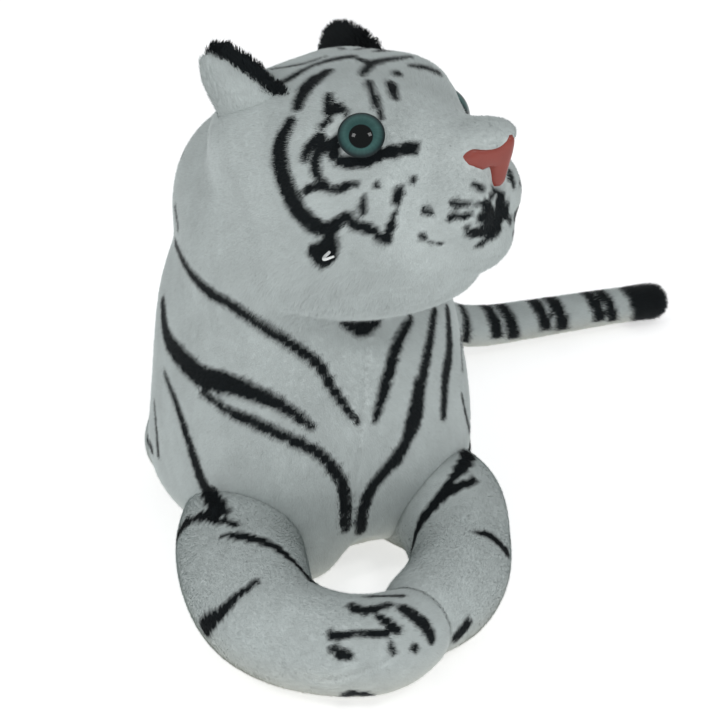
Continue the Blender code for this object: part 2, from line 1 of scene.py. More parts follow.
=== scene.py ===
import math

import bpy
import numpy as np
from mathutils import Matrix, Vector
from mathutils.bvhtree import BVHTree


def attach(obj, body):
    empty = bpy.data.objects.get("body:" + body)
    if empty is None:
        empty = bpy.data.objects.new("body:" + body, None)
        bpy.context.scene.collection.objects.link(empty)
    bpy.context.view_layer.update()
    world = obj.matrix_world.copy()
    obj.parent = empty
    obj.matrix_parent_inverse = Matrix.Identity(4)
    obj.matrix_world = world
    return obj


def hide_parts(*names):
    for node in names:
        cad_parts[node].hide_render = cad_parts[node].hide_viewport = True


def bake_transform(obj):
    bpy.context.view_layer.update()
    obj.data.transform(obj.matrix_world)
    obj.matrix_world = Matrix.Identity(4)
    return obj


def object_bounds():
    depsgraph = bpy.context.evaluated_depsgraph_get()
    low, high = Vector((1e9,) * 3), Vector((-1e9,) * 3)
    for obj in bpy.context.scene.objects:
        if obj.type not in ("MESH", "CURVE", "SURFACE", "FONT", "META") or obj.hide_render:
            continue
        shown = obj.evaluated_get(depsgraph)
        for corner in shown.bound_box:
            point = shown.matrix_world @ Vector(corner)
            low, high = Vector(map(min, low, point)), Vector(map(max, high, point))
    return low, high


# Plush tiger: every sewn part is a stuffed skin of backing cloth with its pile grown on it blade by blade.
# The stripes are dyed into the pile: a blade takes the colour of the skin at its root and under its tip.

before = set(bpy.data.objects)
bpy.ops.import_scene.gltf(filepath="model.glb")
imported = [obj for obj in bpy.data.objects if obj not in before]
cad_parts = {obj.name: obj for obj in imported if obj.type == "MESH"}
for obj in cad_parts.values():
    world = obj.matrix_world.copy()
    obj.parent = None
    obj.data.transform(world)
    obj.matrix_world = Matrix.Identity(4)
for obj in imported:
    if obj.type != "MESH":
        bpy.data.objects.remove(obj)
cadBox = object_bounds()
print("frame loaded,", len(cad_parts), "nodes")

# camera

camera = {"place": (-0.044, -0.844, 0.435), "turn": -5, "rise": 25, "lens": 97.75, "sensor": 36, "side": 720}


def cameraAxes():
    turn, rise = math.radians(camera["turn"]), math.radians(camera["rise"])
    back = np.array((math.sin(turn) * math.cos(rise), -math.cos(turn) * math.cos(rise), math.sin(rise)))
    right = np.array((math.cos(turn), math.sin(turn), 0))
    return right, np.cross(back, right), back


def addCamera():
    bpy.ops.object.camera_add(location=camera["place"])
    made = bpy.context.object
    made.name = "photoCamera"
    made.data.lens = camera["lens"]
    made.data.sensor_width = camera["sensor"]
    made.data.clip_start = 0.05
    right, up, back = cameraAxes()
    turned = Matrix(np.stack((right, up, back), axis=1).tolist()).to_4x4()
    made.matrix_world = Matrix.Translation(camera["place"]) @ turned
    bpy.context.scene.camera = made


def sightLine(across, down):
    # direction from the camera through a point of the 720 px square picture
    right, up, back = cameraAxes()
    reach = camera["side"] * camera["lens"] / camera["sensor"]
    half = camera["side"] / 2
    line = right * (across - half) / reach + up * (half - down) / reach - back
    return line / np.linalg.norm(line)


def pixelSize(place):
    # metres that one pixel covers at a place
    depth = -(np.array(place) - np.array(camera["place"])) @ cameraAxes()[2]
    return depth * camera["sensor"] / (camera["side"] * camera["lens"])


addCamera()

# light and floor

studio = {
    "skyColour": (0.97, 0.99, 1.0), "sky": 0.60,
    # place, width and power of each lamp; the first is wide and isn't seen in gloss
    "lamps": [((-0.15, -2.80, 0.60), 2.40, 13.0), ((-0.90, -1.10, 1.50), 0.36, 5.2), ((0.72, -1.20, 1.58), 0.36, 4.8)],
    "aim": (0.0, -0.08, 0.09),
    "floorWidth": 8, "floor": 0.80, "floorGlow": 0.53, "floorRoughness": 0.9, "floorGloss": 0.1,
}


def addNode(tree, kind, inputs=None, **settings):
    node = tree.nodes.new(kind)
    for name, value in settings.items():
        setattr(node, name, value)
    for name, value in (inputs or {}).items():
        node.inputs[name].default_value = value
    return node


def wire(tree, *links):
    # each link is a node, its output, the next node and its input
    for source, outlet, target, inlet in links:
        tree.links.new(source.outputs[outlet], target.inputs[inlet])


def newMaterial(name, inputs):
    material = bpy.data.materials.new(name)
    material.use_nodes = True
    tree = material.node_tree
    tree.nodes.clear()
    shader = addNode(tree, "ShaderNodeBsdfPrincipled", inputs)
    wire(tree, (shader, 0, addNode(tree, "ShaderNodeOutputMaterial"), "Surface"))
    return material, tree, shader


def lightStudio():
    world = bpy.data.worlds.new("softRoom")
    bpy.context.scene.world = world
    world.use_nodes = True
    tree = world.node_tree
    tree.nodes.clear()
    path = addNode(tree, "ShaderNodeLightPath")
    lit = addNode(tree, "ShaderNodeBackground", {"Color": (*studio["skyColour"], 1), "Strength": studio["sky"]})
    seen = addNode(tree, "ShaderNodeBackground", {"Color": (1, 1, 1, 1)})
    mix, out = addNode(tree, "ShaderNodeMixShader"), addNode(tree, "ShaderNodeOutputWorld")
    wire(tree, (path, "Is Camera Ray", mix, "Fac"), (lit, 0, mix, 1), (seen, 0, mix, 2), (mix, 0, out, "Surface"))
    for number, (place, width, power) in enumerate(studio["lamps"]):
        bpy.ops.object.light_add(type="AREA", location=place)
        lamp = bpy.context.object
        lamp.name = f"softLamp{number + 1}"
        lamp.data.size = width
        lamp.data.energy = power
        lamp.visible_glossy = number > 0
        aim = Vector(studio["aim"]) - Vector(place)
        lamp.rotation_euler = aim.to_track_quat("-Z", "Y").to_euler()


def layFloor():
    bpy.ops.mesh.primitive_plane_add(size=studio["floorWidth"])
    floor = bpy.context.object
    floor.name = "paleFloor"
    material = newMaterial("paleFloor", {
        "Base Color": (studio["floor"],) * 3 + (1,), "Roughness": studio["floorRoughness"],
        "Specular IOR Level": studio["floorGloss"],
        "Emission Color": (1, 1, 1, 1), "Emission Strength": studio["floorGlow"],
    })[0]
    floor.data.materials.append(material)


lightStudio()
layFloor()
bpy.context.scene.view_settings.view_transform = "Standard"
print("camera, lamps and floor set")

# the head's own axes: forward along the nose, left and up

head = {
    "centre": (0.017, -0.102, 0.179), "yaw": 47, "pitch": 4,
    "neck": (0.008, -0.086), "bendFrom": 0.102, "bendTo": 0.146,
}


def headAxes():
    yaw, pitch = math.radians(head["yaw"]), math.radians(head["pitch"])
    level = np.array((math.sin(yaw), -math.cos(yaw), 0))
    left = np.array((math.cos(yaw), math.sin(yaw), 0))
    forward = level * math.cos(pitch) + np.array((0, 0, math.sin(pitch)))
    return np.stack((forward, left, np.cross(forward, left)), axis=1)


def headPlace(*where):
    return np.array(head["centre"]) + headAxes() @ np.array(where, float)


def headTurn(*direction):
    turned = headAxes() @ np.array(direction, float)
    return turned / np.linalg.norm(turned)


def inHead(points):
    return (points - np.array(head["centre"])) @ headAxes()


# rounded forms: lumps and limbs that melt into each other

def lump(centre, half, axes=None):
    return {"centre": np.array(centre), "half": np.array(half), "axes": np.eye(3) if axes is None else axes}


def lumpDistance(points, form):
    local = (points - form["centre"]) @ form["axes"]
    near = np.linalg.norm(local / form["half"], axis=1)
    slope = np.linalg.norm(local / form["half"] ** 2, axis=1)
    return near * (near - 1) / np.maximum(slope, 1e-9)


def melted(distances, melt):
    distances = np.array(distances)
    lowest = distances.min(axis=0)
    return lowest - melt * np.log(np.exp((lowest - distances) / melt).sum(axis=0))


def smoothPath(corners, count):
    # a smooth curve through the corners, as evenly numbered stations
    corners = np.array(corners, float)
    if corners.ndim == 1:
        corners = corners[:, None]
    place = np.linspace(0, len(corners) - 1, count)
    index = np.minimum(place.astype(int), len(corners) - 2)
    part = (place - index)[:, None]
    before, start = corners[np.maximum(index - 1, 0)], corners[index]
    end, after = corners[index + 1], corners[np.minimum(index + 2, len(corners) - 1)]
    into, out = (end - before) / 2, (after - start) / 2
    return (
        start * (2 * part**3 - 3 * part**2 + 1) + into * (part**3 - 2 * part**2 + part)
        + end * (3 * part**2 - 2 * part**3) + out * (part**3 - part**2)
    )


def limbDistance(points, stations, radii):
    nearest = np.full(len(points), 1e9)
    for place, radius in zip(stations, radii):
        nearest = np.minimum(nearest, np.linalg.norm(points - place, axis=1) - radius)
    return nearest


def alongLimb(points, stations):
    # number of the nearest station for each point
    best, nearest = np.zeros(len(points), int), np.full(len(points), 1e9)
    for number, place in enumerate(stations):
        away = np.linalg.norm(points - place, axis=1)
        closer = away < nearest
        best[closer], nearest[closer] = number, away[closer]
    return best


# torso, head and limb forms, a little under the CAD's skin so that the pile brings them up to it

forms = {
    "under": 0.001, "skullUnder": 0.001, "pressed": 0.0008,
    "melt": 0.009, "notchMelt": 0.0035, "skullMelt": 0.005, "faceMelt": 0.002, "ruffMelt": 0.0028, "neckMelt": 0.0022,
}


def headLump(forward, left, up, *half):
    return lump(headPlace(forward, left, up), half, headAxes())


torsoLumps = [
    lump((0.0017, -0.0871, 0.0624), (0.0641, 0.0639, 0.06)),
    lump((0, -0.0795, 0.0385), (0.0662, 0.0555, 0.0388)),
    lump((0, -0.0771, 0.0984), (0.0602, 0.0554, 0.06)),
    lump((0.0007, -0.029, 0.0624), (0.0567, 0.0739, 0.0528)),
    lump((0.0042, 0.0106, 0.0516), (0.0546, 0.0686, 0.0522)),
    lump((0.0063, 0.0607, 0.0498), (0.0521, 0.0517, 0.0504)),
    lump((-0.009, -0.058, 0.115), (0.0408, 0.042, 0.038)),
    lump((-0.0074, -0.1305, 0.016), (0.013, 0.013, 0.013)),
]
# taken out of the chest where its seam draws it up underneath
chestNotch = lump((0.02, -0.14, 0.0005), (0.0085, 0.027, 0.0165))
headLumps = [
    headLump(0, 0, 0, 0.051, 0.0484, 0.0405),
    headLump(0.0435, 0, -0.0115, 0.027, 0.0265, 0.0215),
    headLump(0.009, 0, -0.029, 0.045, 0.0499, 0.033),
    headLump(0.036, 0, -0.033, 0.0225, 0.0208, 0.018),
    headLump(-0.03, -0.0031, -0.044, 0.0465, 0.052, 0.056),
]
# brows, bridge and nape, then muzzle pads beside the nose, the puff over it, and the jaw's ruff
browLumps = [
    headLump(0.0145, 0.0195, 0.0172, 0.02, 0.0175, 0.019),
    headLump(0.014, -0.019, 0.0164, 0.02, 0.0165, 0.0172),
    headLump(0.047, 0, 0.012, 0.0205, 0.0135, 0.0112),
    headLump(-0.0187, 0.02, 0.0092, 0.0286, 0.0295, 0.0264),
    headLump(-0.0187, -0.02, 0.0092, 0.0286, 0.0295, 0.0264),
    lump((-0.0178, -0.064, 0.147), (0.038, 0.0375, 0.0435)),
]
faceLumps = [
    headLump(0.0605, 0.01, -0.0082, 0.013, 0.0122, 0.0148),
    headLump(0.0605, -0.01, -0.0082, 0.013, 0.0122, 0.0148),
    headLump(0.0682, 0, 0.0172, 0.0106, 0.012, 0.0066),
    headLump(0.059, 0, 0.006, 0.0125, 0.016, 0.014),
    headLump(0.0575, 0.0035, -0.024, 0.0155, 0.016, 0.016),
]
ruffLump = headLump(0.005, 0, -0.046, 0.047, 0.048, 0.0135)


def meltedLumps(points, lumps, melt):
    return melted([lumpDistance(points, form) for form in lumps], melt)


def torsoForm(points):
    chest = meltedLumps(points, torsoLumps, forms["melt"])
    return -melted([-chest, lumpDistance(points, chestNotch)], forms["notchMelt"])


def skullForm(points):
    return meltedLumps(points, headLumps, forms["melt"])


def headForm(points):
    skull = meltedLumps(points, headLumps + browLumps, forms["skullMelt"]) + forms["skullUnder"]
    face = meltedLumps(points, faceLumps, forms["faceMelt"])
    return melted([skull, face, lumpDistance(points, ruffLump)], forms["ruffMelt"])


def bodyForm(points):
    return melted([torsoForm(points), headForm(points)], forms["neckMelt"]) + forms["under"]


def slopeOf(form, points, step=0.0004):
    columns = []
    for axis in range(3):
        shift = np.zeros(3)
        shift[axis] = step
        columns.append((form(points + shift) - form(points - shift)) / (2 * step))
    return np.stack(columns, axis=1)


def normalised(vectors):
    return vectors / np.maximum(np.linalg.norm(vectors, axis=1), 1e-9)[:, None]


arms = {
    "rightPath": [
        (-0.0281, -0.112, 0.0215), (-0.0322, -0.1364, 0.0215), (-0.031, -0.163, 0.0215), (-0.0265, -0.1878, 0.0215),
        (-0.015, -0.2056, 0.0215), (0, -0.2142, 0.0212), (0.0135, -0.2158, 0.0208), (0.0225, -0.2128, 0.0205),
        (0.03, -0.2072, 0.0202),
    ],
    "rightRadii": [0.0264, 0.0272, 0.0268, 0.0243, 0.0219, 0.0206, 0.0201, 0.0192, 0.0174],
    "leftPath": [
        (0.046, -0.1, 0.0235), (0.0558, -0.1215, 0.026), (0.0582, -0.145, 0.0225), (0.0558, -0.1655, 0.0215),
        (0.0485, -0.1825, 0.0212), (0.0395, -0.1935, 0.0208),
    ],
    "leftRadii": [0.0265, 0.0254, 0.0224, 0.0212, 0.0204, 0.0188],
    "stations": 90,
}
hindLegs = {
    "size": (0.05, 0.122, 0.066), "hips": {"right": (-0.0398, 0.0315), "left": (0.044, 0.014)},
    # centre and half size of each lump, as shares of the size
    "shares": [
        (0, 0, 0.5, 0.5, 0.3, 0.5), (0.26, 0.22, 0.22, 0.34, 0.36, 0.226), (0.32, 0.5, 0.218, 0.31, 0.15, 0.222),
    ],
}
tail = {
    "root": (0.0625, 0.078, 0.033), "length": 0.142, "lowest": 0.0098, "radii": (0.0127, 0.0096), "stations": 110,
    # across and back as shares of the length, height as a share of the root's
    "shares": [
        (-0.08, -0.013, 1.03), (0, 0, 1.02), (0.085, 0.015, 0.76), (0.18, 0.042, 0.57), (0.3, 0.084, 0.465),
        (0.45, 0.138, 0.43), (0.64, 0.203, 0.41), (0.82, 0.262, 0.39), (0.96, 0.306, 0.37),
    ],
}


def armStations(sideName):
    radii = smoothPath(arms[f"{sideName}Radii"], arms["stations"])[:, 0] - forms["under"]
    return smoothPath(arms[f"{sideName}Path"], arms["stations"]), radii


def tailStations():
    root = np.array(tail["root"])
    path = []
    for across, back, height in tail["shares"]:
        place = root + np.array((across, back, 0)) * tail["length"]
        place[2] = max(root[2] * height, tail["lowest"])
        path.append(place)
    thick, thin = tail["radii"]
    return smoothPath(path, tail["stations"]), np.linspace(thick, thin, tail["stations"]) - forms["under"]


rightArmLine, rightArmRadii = armStations("right")
leftArmLine, leftArmRadii = armStations("left")
tailLine, tailRadii = tailStations()


def rightArmForm(points):
    return limbDistance(points, rightArmLine, rightArmRadii)


def leftArmForm(points):
    # the left paw is pressed in where the right one lies against it
    bare = limbDistance(points, leftArmLine, leftArmRadii)
    return np.maximum(bare, forms["pressed"] - rightArmForm(points))


def tailForm(points):
    return limbDistance(points, tailLine, tailRadii)


def hindLegLumps(sideName):
    side = -1 if sideName == "right" else 1
    sizes, turn = np.array(hindLegs["size"]), np.array((side, -1, 1))
    hip = np.array((*hindLegs["hips"][sideName], 0))
    return [lump(hip + np.array(row[:3]) * sizes * turn, np.array(row[3:]) * sizes) for row in hindLegs["shares"]]


def hindLegForm(sideName):
    lumps = hindLegLumps(sideName)
    return lambda points: meltedLumps(points, lumps, forms["melt"]) + forms["under"] * 2


# modelling helpers

def selectOnly(*pieces):
    bpy.ops.object.select_all(action="DESELECT")
    for piece in pieces:
        piece.select_set(True)
    bpy.context.view_layer.objects.active = pieces[0]


def readThrees(items, kind, numbers):
    flat = np.empty(len(items) * 3, numbers)
    items.foreach_get(kind, flat)
    return flat.reshape(-1, 3)


def pointsOf(mesh):
    return readThrees(mesh.vertices, "co", np.float32).astype(float)


def normalsOf(mesh):
    return readThrees(mesh.vertex_normals, "vector", np.float32).astype(float)


def trianglesOf(mesh):
    mesh.calc_loop_triangles()
    return readThrees(mesh.loop_triangles, "vertices", np.int32)


def placePoints(piece, points):
    piece.data.vertices.foreach_set("co", points.astype(np.float32).ravel())
    piece.data.update()


def applyStep(piece, kind, **settings):
    selectOnly(piece)
    step = piece.modifiers.new(kind.lower(), kind)
    for name, value in settings.items():
        setattr(step, name, value)
    bpy.ops.object.modifier_apply(modifier=step.name)


def editWhole(step, **settings):
    bpy.ops.object.mode_set(mode="EDIT")
    bpy.ops.mesh.select_all(action="SELECT")
    step(**settings)
    bpy.ops.object.mode_set(mode="OBJECT")


def addBall(centre, half, axes):
    bpy.ops.mesh.primitive_uv_sphere_add(segments=36, ring_count=18, radius=1)
    ball = bpy.context.object
    turned = Matrix(np.array(axes).tolist()).to_4x4()
    ball.matrix_world = Matrix.Translation(centre) @ turned @ Matrix.Diagonal((*half, 1))
    return ball


def joined(pieces, name):
    selectOnly(*pieces)
    if len(pieces) > 1:
        bpy.ops.object.join()
    made = bpy.context.object
    made.name = made.data.name = name
    bpy.ops.object.transform_apply(location=True, rotation=True, scale=True)
    return made


def stuffedSkin(name, balls, form, fineness, floorLevel=0.0006):
    # balls are joined and remeshed to one skin, then every point is settled on the form
    skin = joined([addBall(*ball) for ball in balls], name)
    applyStep(skin, "REMESH", mode="VOXEL", voxel_size=fineness)
    for _ in range(3):
        applyStep(skin, "SMOOTH", factor=0.5, iterations=2)
        points = pointsOf(skin.data)
        for _ in range(3):
            slope = slopeOf(form, points)
            steep = np.maximum((slope**2).sum(axis=1), 0.3)
            points = points - slope * (form(points) / steep)[:, None]
        placePoints(skin, points)
    points[:, 2] = np.maximum(points[:, 2], floorLevel)
    placePoints(skin, points)
    selectOnly(skin)
    bpy.ops.object.shade_smooth()
    return skin


def lumpBalls(lumps):
    return [(form["centre"], form["half"], form["axes"]) for form in lumps]


def limbBalls(stations, radii, every=5):
    chosen = list(range(0, len(stations), every)) + [len(stations) - 1]
    return [(stations[number], (radii[number],) * 3, np.eye(3)) for number in chosen]


fineness = {"body": 0.0024, "arm": 0.0022, "leg": 0.0024, "tail": 0.0018}


def addSkins():
    bodyLumps = torsoLumps + headLumps + browLumps + faceLumps + [ruffLump]
    rows = [
        ("body", lumpBalls(bodyLumps), bodyForm, fineness["body"]),
        ("rightArm", limbBalls(rightArmLine, rightArmRadii), rightArmForm, fineness["arm"]),
        ("leftArm", limbBalls(leftArmLine, leftArmRadii), leftArmForm, fineness["arm"]),
        ("tail", limbBalls(tailLine, tailRadii, 4), tailForm, fineness["tail"]),
    ]
    for sideName in ("right", "left"):
        rows.append((f"{sideName}Leg", lumpBalls(hindLegLumps(sideName)), hindLegForm(sideName), fineness["leg"]))
    return {name: stuffedSkin(f"{name}Skin", balls, form, fine) for name, balls, form, fine in rows}


skins = addSkins()
print("skins settled:", {name: len(skin.data.polygons) for name, skin in skins.items()})

# ears: a fin of two panels, white outside and black inside

ears = {
    "base": (-0.0235, 0.036, 0.02), "along": (0.94, 0.28, 0.16), "tip": (-0.44, -0.42, 0.79),
    "thick": 0.004, "cup": 0.005, "cupHeight": 25, "cupStart": 0.25, "segments": 56, "rings": 24,
    "cut": -0.02, "outlineSteps": 400, "sharp": 60,
    # outlines of the panels in mm, along the base and up from it
    "rightBack": [
        (22, -13), (21.5, 0), (19.5, 5), (15.5, 10.5), (10.5, 17), (4.5, 23.3), (0, 27.0), (-5.4, 28.8), (-10.2, 26.0),
        (-11.5, 20), (-11.0, 13), (-9.2, 5), (-7, -9),
    ],
    "rightLining": [
        (22.5, -13), (22.5, 1), (21.6, 8), (17.3, 15), (11.8, 22.2), (6, 28.2), (1.5, 31.2), (-3.2, 31.6), (-6.4, 27.5),
        (-7.0, 20), (-6.8, 12), (-7.2, 4), (-7.6, -13),
    ],
    "leftBack": [
        (22, -13), (21.5, 2), (18.5, 7), (13, 11.5), (4, 15.5), (-6, 18.6), (-15, 19.2), (-21, 16.5), (-25, 12),
        (-26.5, 5), (-27, -13),
    ],
    "leftLining": [
        (23, -13), (22.5, 2), (20, 8), (14.5, 13), (5, 18), (-6, 21.2), (-15, 21.6), (-21.8, 18.6), (-26, 13),
        (-27.4, 5), (-28, -13),
    ],
    "middles": {"right": (5, 6), "left": (-4, 4)},
}


def earAxes(sideName):
    # columns: along the base, outward and towards the tip
    side = 1 if sideName == "right" else -1
    forward, left, up = ears["base"]
    base = headPlace(forward, -side * left, up)
    forward, left, up = ears["along"]
    along = headTurn(forward, left * side, up)
    forward, left, up = ears["tip"]
    tip = headTurn(forward, left * side, up)
    tip = tip - along * (tip @ along)
    tip = tip / np.linalg.norm(tip)
    return base, np.stack((along, np.cross(along, tip) * side, tip), axis=1)


def addEarPanel(sideName, panelName, facing):
    base, axes = earAxes(sideName)
    bpy.ops.mesh.primitive_uv_sphere_add(segments=ears["segments"], ring_count=ears["rings"], radius=1)
    panel = bpy.context.object
    editWhole(bpy.ops.mesh.bisect, plane_co=(0, 0, ears["cut"]), plane_no=(0, 0, 1), use_fill=True, clear_inner=True)
    points = pointsOf(panel.data)
    rim = np.array(ears[f"{sideName}{panelName}"], float)
    rim = smoothPath(np.vstack((rim, rim[:1])), ears["outlineSteps"])
    middle = np.array(ears["middles"][sideName])
    bearing = np.arctan2(*(rim - middle).T[::-1])
    order = np.argsort(bearing)
    reach = np.linalg.norm(rim - middle, axis=1)
    turn = np.arctan2(points[:, 1], points[:, 0])
    spread = np.hypot(points[:, 0], points[:, 1])
    reachHere = np.interp(turn, bearing[order], reach[order], period=math.tau)
    plane = middle + np.stack((np.cos(turn), np.sin(turn)), axis=1) * (spread * reachHere)[:, None]
    high = np.clip(plane[:, 1] / ears["cupHeight"], 0, 1)
    depth = facing * points[:, 2] * ears["thick"] - ears["cup"] * spread**2 * high + ears["cup"] * ears["cupStart"]
    placed = np.stack((plane[:, 0] / 1000, depth, plane[:, 1] / 1000), axis=1)
    placePoints(panel, base + placed @ axes.T)
    panel.name = panel.data.name = f"{sideName}Ear{panelName}Skin"
    editWhole(bpy.ops.mesh.normals_make_consistent, inside=False)
    bpy.ops.object.shade_smooth()
    bpy.ops.object.shade_smooth_by_angle(angle=math.radians(ears["sharp"]))
    return panel


for sideName in ("right", "left"):
    skins[f"{sideName}EarBack"] = addEarPanel(sideName, "Back", 1)
    skins[f"{sideName}EarLining"] = addEarPanel(sideName, "Lining", -1)
print("ears shaped")

# eyes: moulded domes on the fur, their iris and pupil painted by radius

eyes = {
    "width": 0.0180, "bulge": 0.0048, "edge": 0.0012, "steps": 26, "turns": 72, "tuck": 0.0040,
    "forward": 0.0324, "side": 0.0330, "up": 0.0196, "seat": {"right": 0.0008, "left": -0.0041},
}


def eyeSeat(sideName):
    side = 1 if sideName == "right" else -1
    inside = headPlace(eyes["forward"] - eyes["width"] / 2, 0, eyes["up"])
    towards = headPlace(eyes["forward"], -side * eyes["side"], eyes["up"]) - inside
    towards = towards / np.linalg.norm(towards)
    place = inside.copy()
    for _ in range(60):
        place = place - towards * skullForm(place[None])[0] * 0.9
    axis = normalised(slopeOf(skullForm, place[None]))[0]
    return place + axis * eyes["seat"][sideName], axis


def turnedPiece(name, profile, place, axis, turns):
    # the profile (radius, height) is spun about its axis, then set at its place
    bpy.ops.mesh.primitive_plane_add(size=0.001)
    made = bpy.context.object
    bpy.ops.object.mode_set(mode="EDIT")
    bpy.ops.mesh.select_all(action="SELECT")
    bpy.ops.mesh.merge(type="CENTER")
    bpy.ops.transform.translate(value=(profile[0][0], 0, profile[0][1]))
    for (radius, height), (nextRadius, nextHeight) in zip(profile, profile[1:]):
        bpy.ops.mesh.extrude_region_move(
            TRANSFORM_OT_translate={"value": (nextRadius - radius, 0, nextHeight - height)}
        )
    bpy.ops.mesh.select_all(action="SELECT")
    bpy.ops.mesh.spin(steps=turns, angle=math.tau, center=(0, 0, 0), axis=(0, 0, 1))
    bpy.ops.mesh.select_all(action="SELECT")
    bpy.ops.mesh.remove_doubles(threshold=1e-6)
    bpy.ops.mesh.normals_make_consistent(inside=False)
    bpy.ops.object.mode_set(mode="OBJECT")
    made.name = made.data.name = name
    made.matrix_world = Matrix.Translation(place) @ Vector(axis).to_track_quat("Z", "Y").to_matrix().to_4x4()
    return made


def addEye(sideName):
    place, axis = eyeSeat(sideName)
    radius, bulge = eyes["width"] / 2, eyes["bulge"] - eyes["edge"]
    ball = (radius**2 + bulge**2) / (2 * bulge)
    reach = math.asin(min(radius / ball, 1))
    profile = [(0, eyes["bulge"])]
    for step in range(1, eyes["steps"] + 1):
        turn = reach * step / eyes["steps"]
        profile.append((ball * math.sin(turn), eyes["bulge"] - ball * (1 - math.cos(turn))))
    profile += [
        (radius - 0.0001, eyes["edge"] * 0.5), (radius * 0.93, -0.0006), (radius * 0.5, -eyes["tuck"] * 0.6),
        (0, -eyes["tuck"]),
    ]
    eye = turnedPiece(f"{sideName}EyeDome", profile, place, axis, eyes["turns"])
    flat = pointsOf(eye.data)
    layer = eye.data.uv_layers.new(name="eyeMap")
    corners = np.empty(len(eye.data.loops), np.int32)
    eye.data.loops.foreach_get("vertex_index", corners)
    across = flat[corners][:, :2] / (2 * radius) + 0.5
    layer.data.foreach_set("uv", across.astype(np.float32).ravel())
    selectOnly(eye)
    bpy.ops.object.transform_apply(location=True, rotation=True, scale=True)
    bpy.ops.object.shade_smooth()
    return eye


eyePieces = {sideName: addEye(sideName) for sideName in ("right", "left")}

# nose: one moulding, its outline of bridge, wings and stem drawn over the muzzle's rounded front

nose = {
    "half": [
        (0, 0.019), (0.0026, 0.0172), (0.0058, 0.0146), (0.0108, 0.0142), (0.013, 0.0112), (0.0126, 0.008),
        (0.0104, 0.006), (0.0078, 0.0046), (0.0056, 0.0058), (0.0044, 0.0056), (0.0037, 0.0026), (0.0036, -0.0004),
        (0.0024, -0.0026), (0, -0.0032),
    ],
    "ridge": 0.073, "rise": 0.31, "wrap": 0.85, "round": 0.0022, "dome": 0.0016, "domeEdge": 0.0016, "slope": 1.3,
    "deep": 0.006, "melt": 0.0007, "fineness": 0.0005,
}


def outlineDistance(across, up, half):
    # signed distance to the outline that the half and its mirror image make
    spots = np.stack((np.abs(across), up), axis=1)
    corners = np.array(half)
    away = np.full(len(spots), 1.0)
    inside = np.zeros(len(spots), bool)
    for start, end in zip(corners[:-1], corners[1:]):
        side = end - start
        share = np.clip((spots - start) @ side / (side @ side), 0, 1)
        away = np.minimum(away, np.linalg.norm(spots - start - share[:, None] * side, axis=1))
        crossed = (start[1] > spots[:, 1]) != (end[1] > spots[:, 1])
        level = np.where(crossed, (spots[:, 1] - start[1]) / (side[1] if side[1] else 1), 0)
        inside ^= crossed & (spots[:, 0] < start[0] + level * side[0])
    return np.where(inside, -away, away)


def noseForm(points):
    forward, across, up = inHead(points).T
    edge = outlineDistance(across, up, nose["half"])
    dome = nose["dome"] * (1 - np.exp(np.minimum(edge, 0.0) / nose["domeEdge"]))
    front = nose["ridge"] + nose["rise"] * up + dome - nose["wrap"] * (np.hypot(across, nose["round"]) - nose["round"])
    over = (forward - front) / nose["slope"]
    return -melted([-edge, -over, over + nose["deep"]], nose["melt"])


def addNose():
    # balls up the bridge, then out along both wings
    balls = [(headPlace(0.0725, 0, up), (0.0044, 0.0036, 0.005), headAxes()) for up in (0.001, 0.006, 0.011, 0.015)]
    balls += [
        (headPlace(forward, side * across, 0.0095), (0.0046, 0.0042, 0.0048), headAxes())
        for forward, across in ((0.07, 0.0045), (0.066, 0.0085)) for side in (-1, 1)
    ]
    return stuffedSkin("noseMoulding", balls, noseForm, nose["fineness"])


nosePiece = addNose()
print("eyes and nose moulded")

# tag fastener: a thin barb of plastic left in the cheek

fastener = {
    "start": (0.0108, -0.02), "direction": (0.3, -0.95, -0.05), "bend": (1, 0, 0.4),
    "rise": 0.006, "reach": 0.006, "sunk": 0.002, "thick": 0.0012, "endThick": 0.7, "sharp": 50,
}


def addFastener():
    forward, up = fastener["start"]
    axis = headTurn(*fastener["direction"])
    bend = headTurn(*fastener["bend"])
    place = headPlace(forward, 0, up)
    for _ in range(60):
        place = place - axis * skullForm(place[None])[0] * 0.9
    rise, reach = fastener["rise"], fastener["reach"]
    corners = [
        place - axis * fastener["sunk"], place + axis * rise * 0.55, place + axis * rise + bend * reach * 0.3,
        place + axis * (rise - 0.0004) + bend * reach * 1.05,
    ]
    bpy.ops.curve.primitive_bezier_curve_add()
    made = bpy.context.object
    made.location = (0, 0, 0)
    made.data.dimensions = "3D"
    spline = made.data.splines[0]
    spline.bezier_points.add(len(corners) - 2)
    for knot, corner in zip(spline.bezier_points, corners):
        knot.co = corner
        knot.handle_left_type = knot.handle_right_type = "AUTO"
        knot.radius = 1
    spline.bezier_points[-1].radius = fastener["endThick"]
    made.data.bevel_depth = fastener["thick"] / 2
    made.data.bevel_resolution = 4
    made.data.resolution_u = 8
    made.data.use_fill_caps = True
    selectOnly(made)
    bpy.ops.object.convert(target="MESH")
    made.name = made.data.name = "tagFastenerBarb"
    bpy.ops.object.shade_smooth()
    bpy.ops.object.shade_smooth_by_angle(angle=math.radians(fastener["sharp"]))
    return made


fastenerPiece = addFastener()

# stripes: strokes of dye, each a line over the picture with its width in pixels at even steps along it

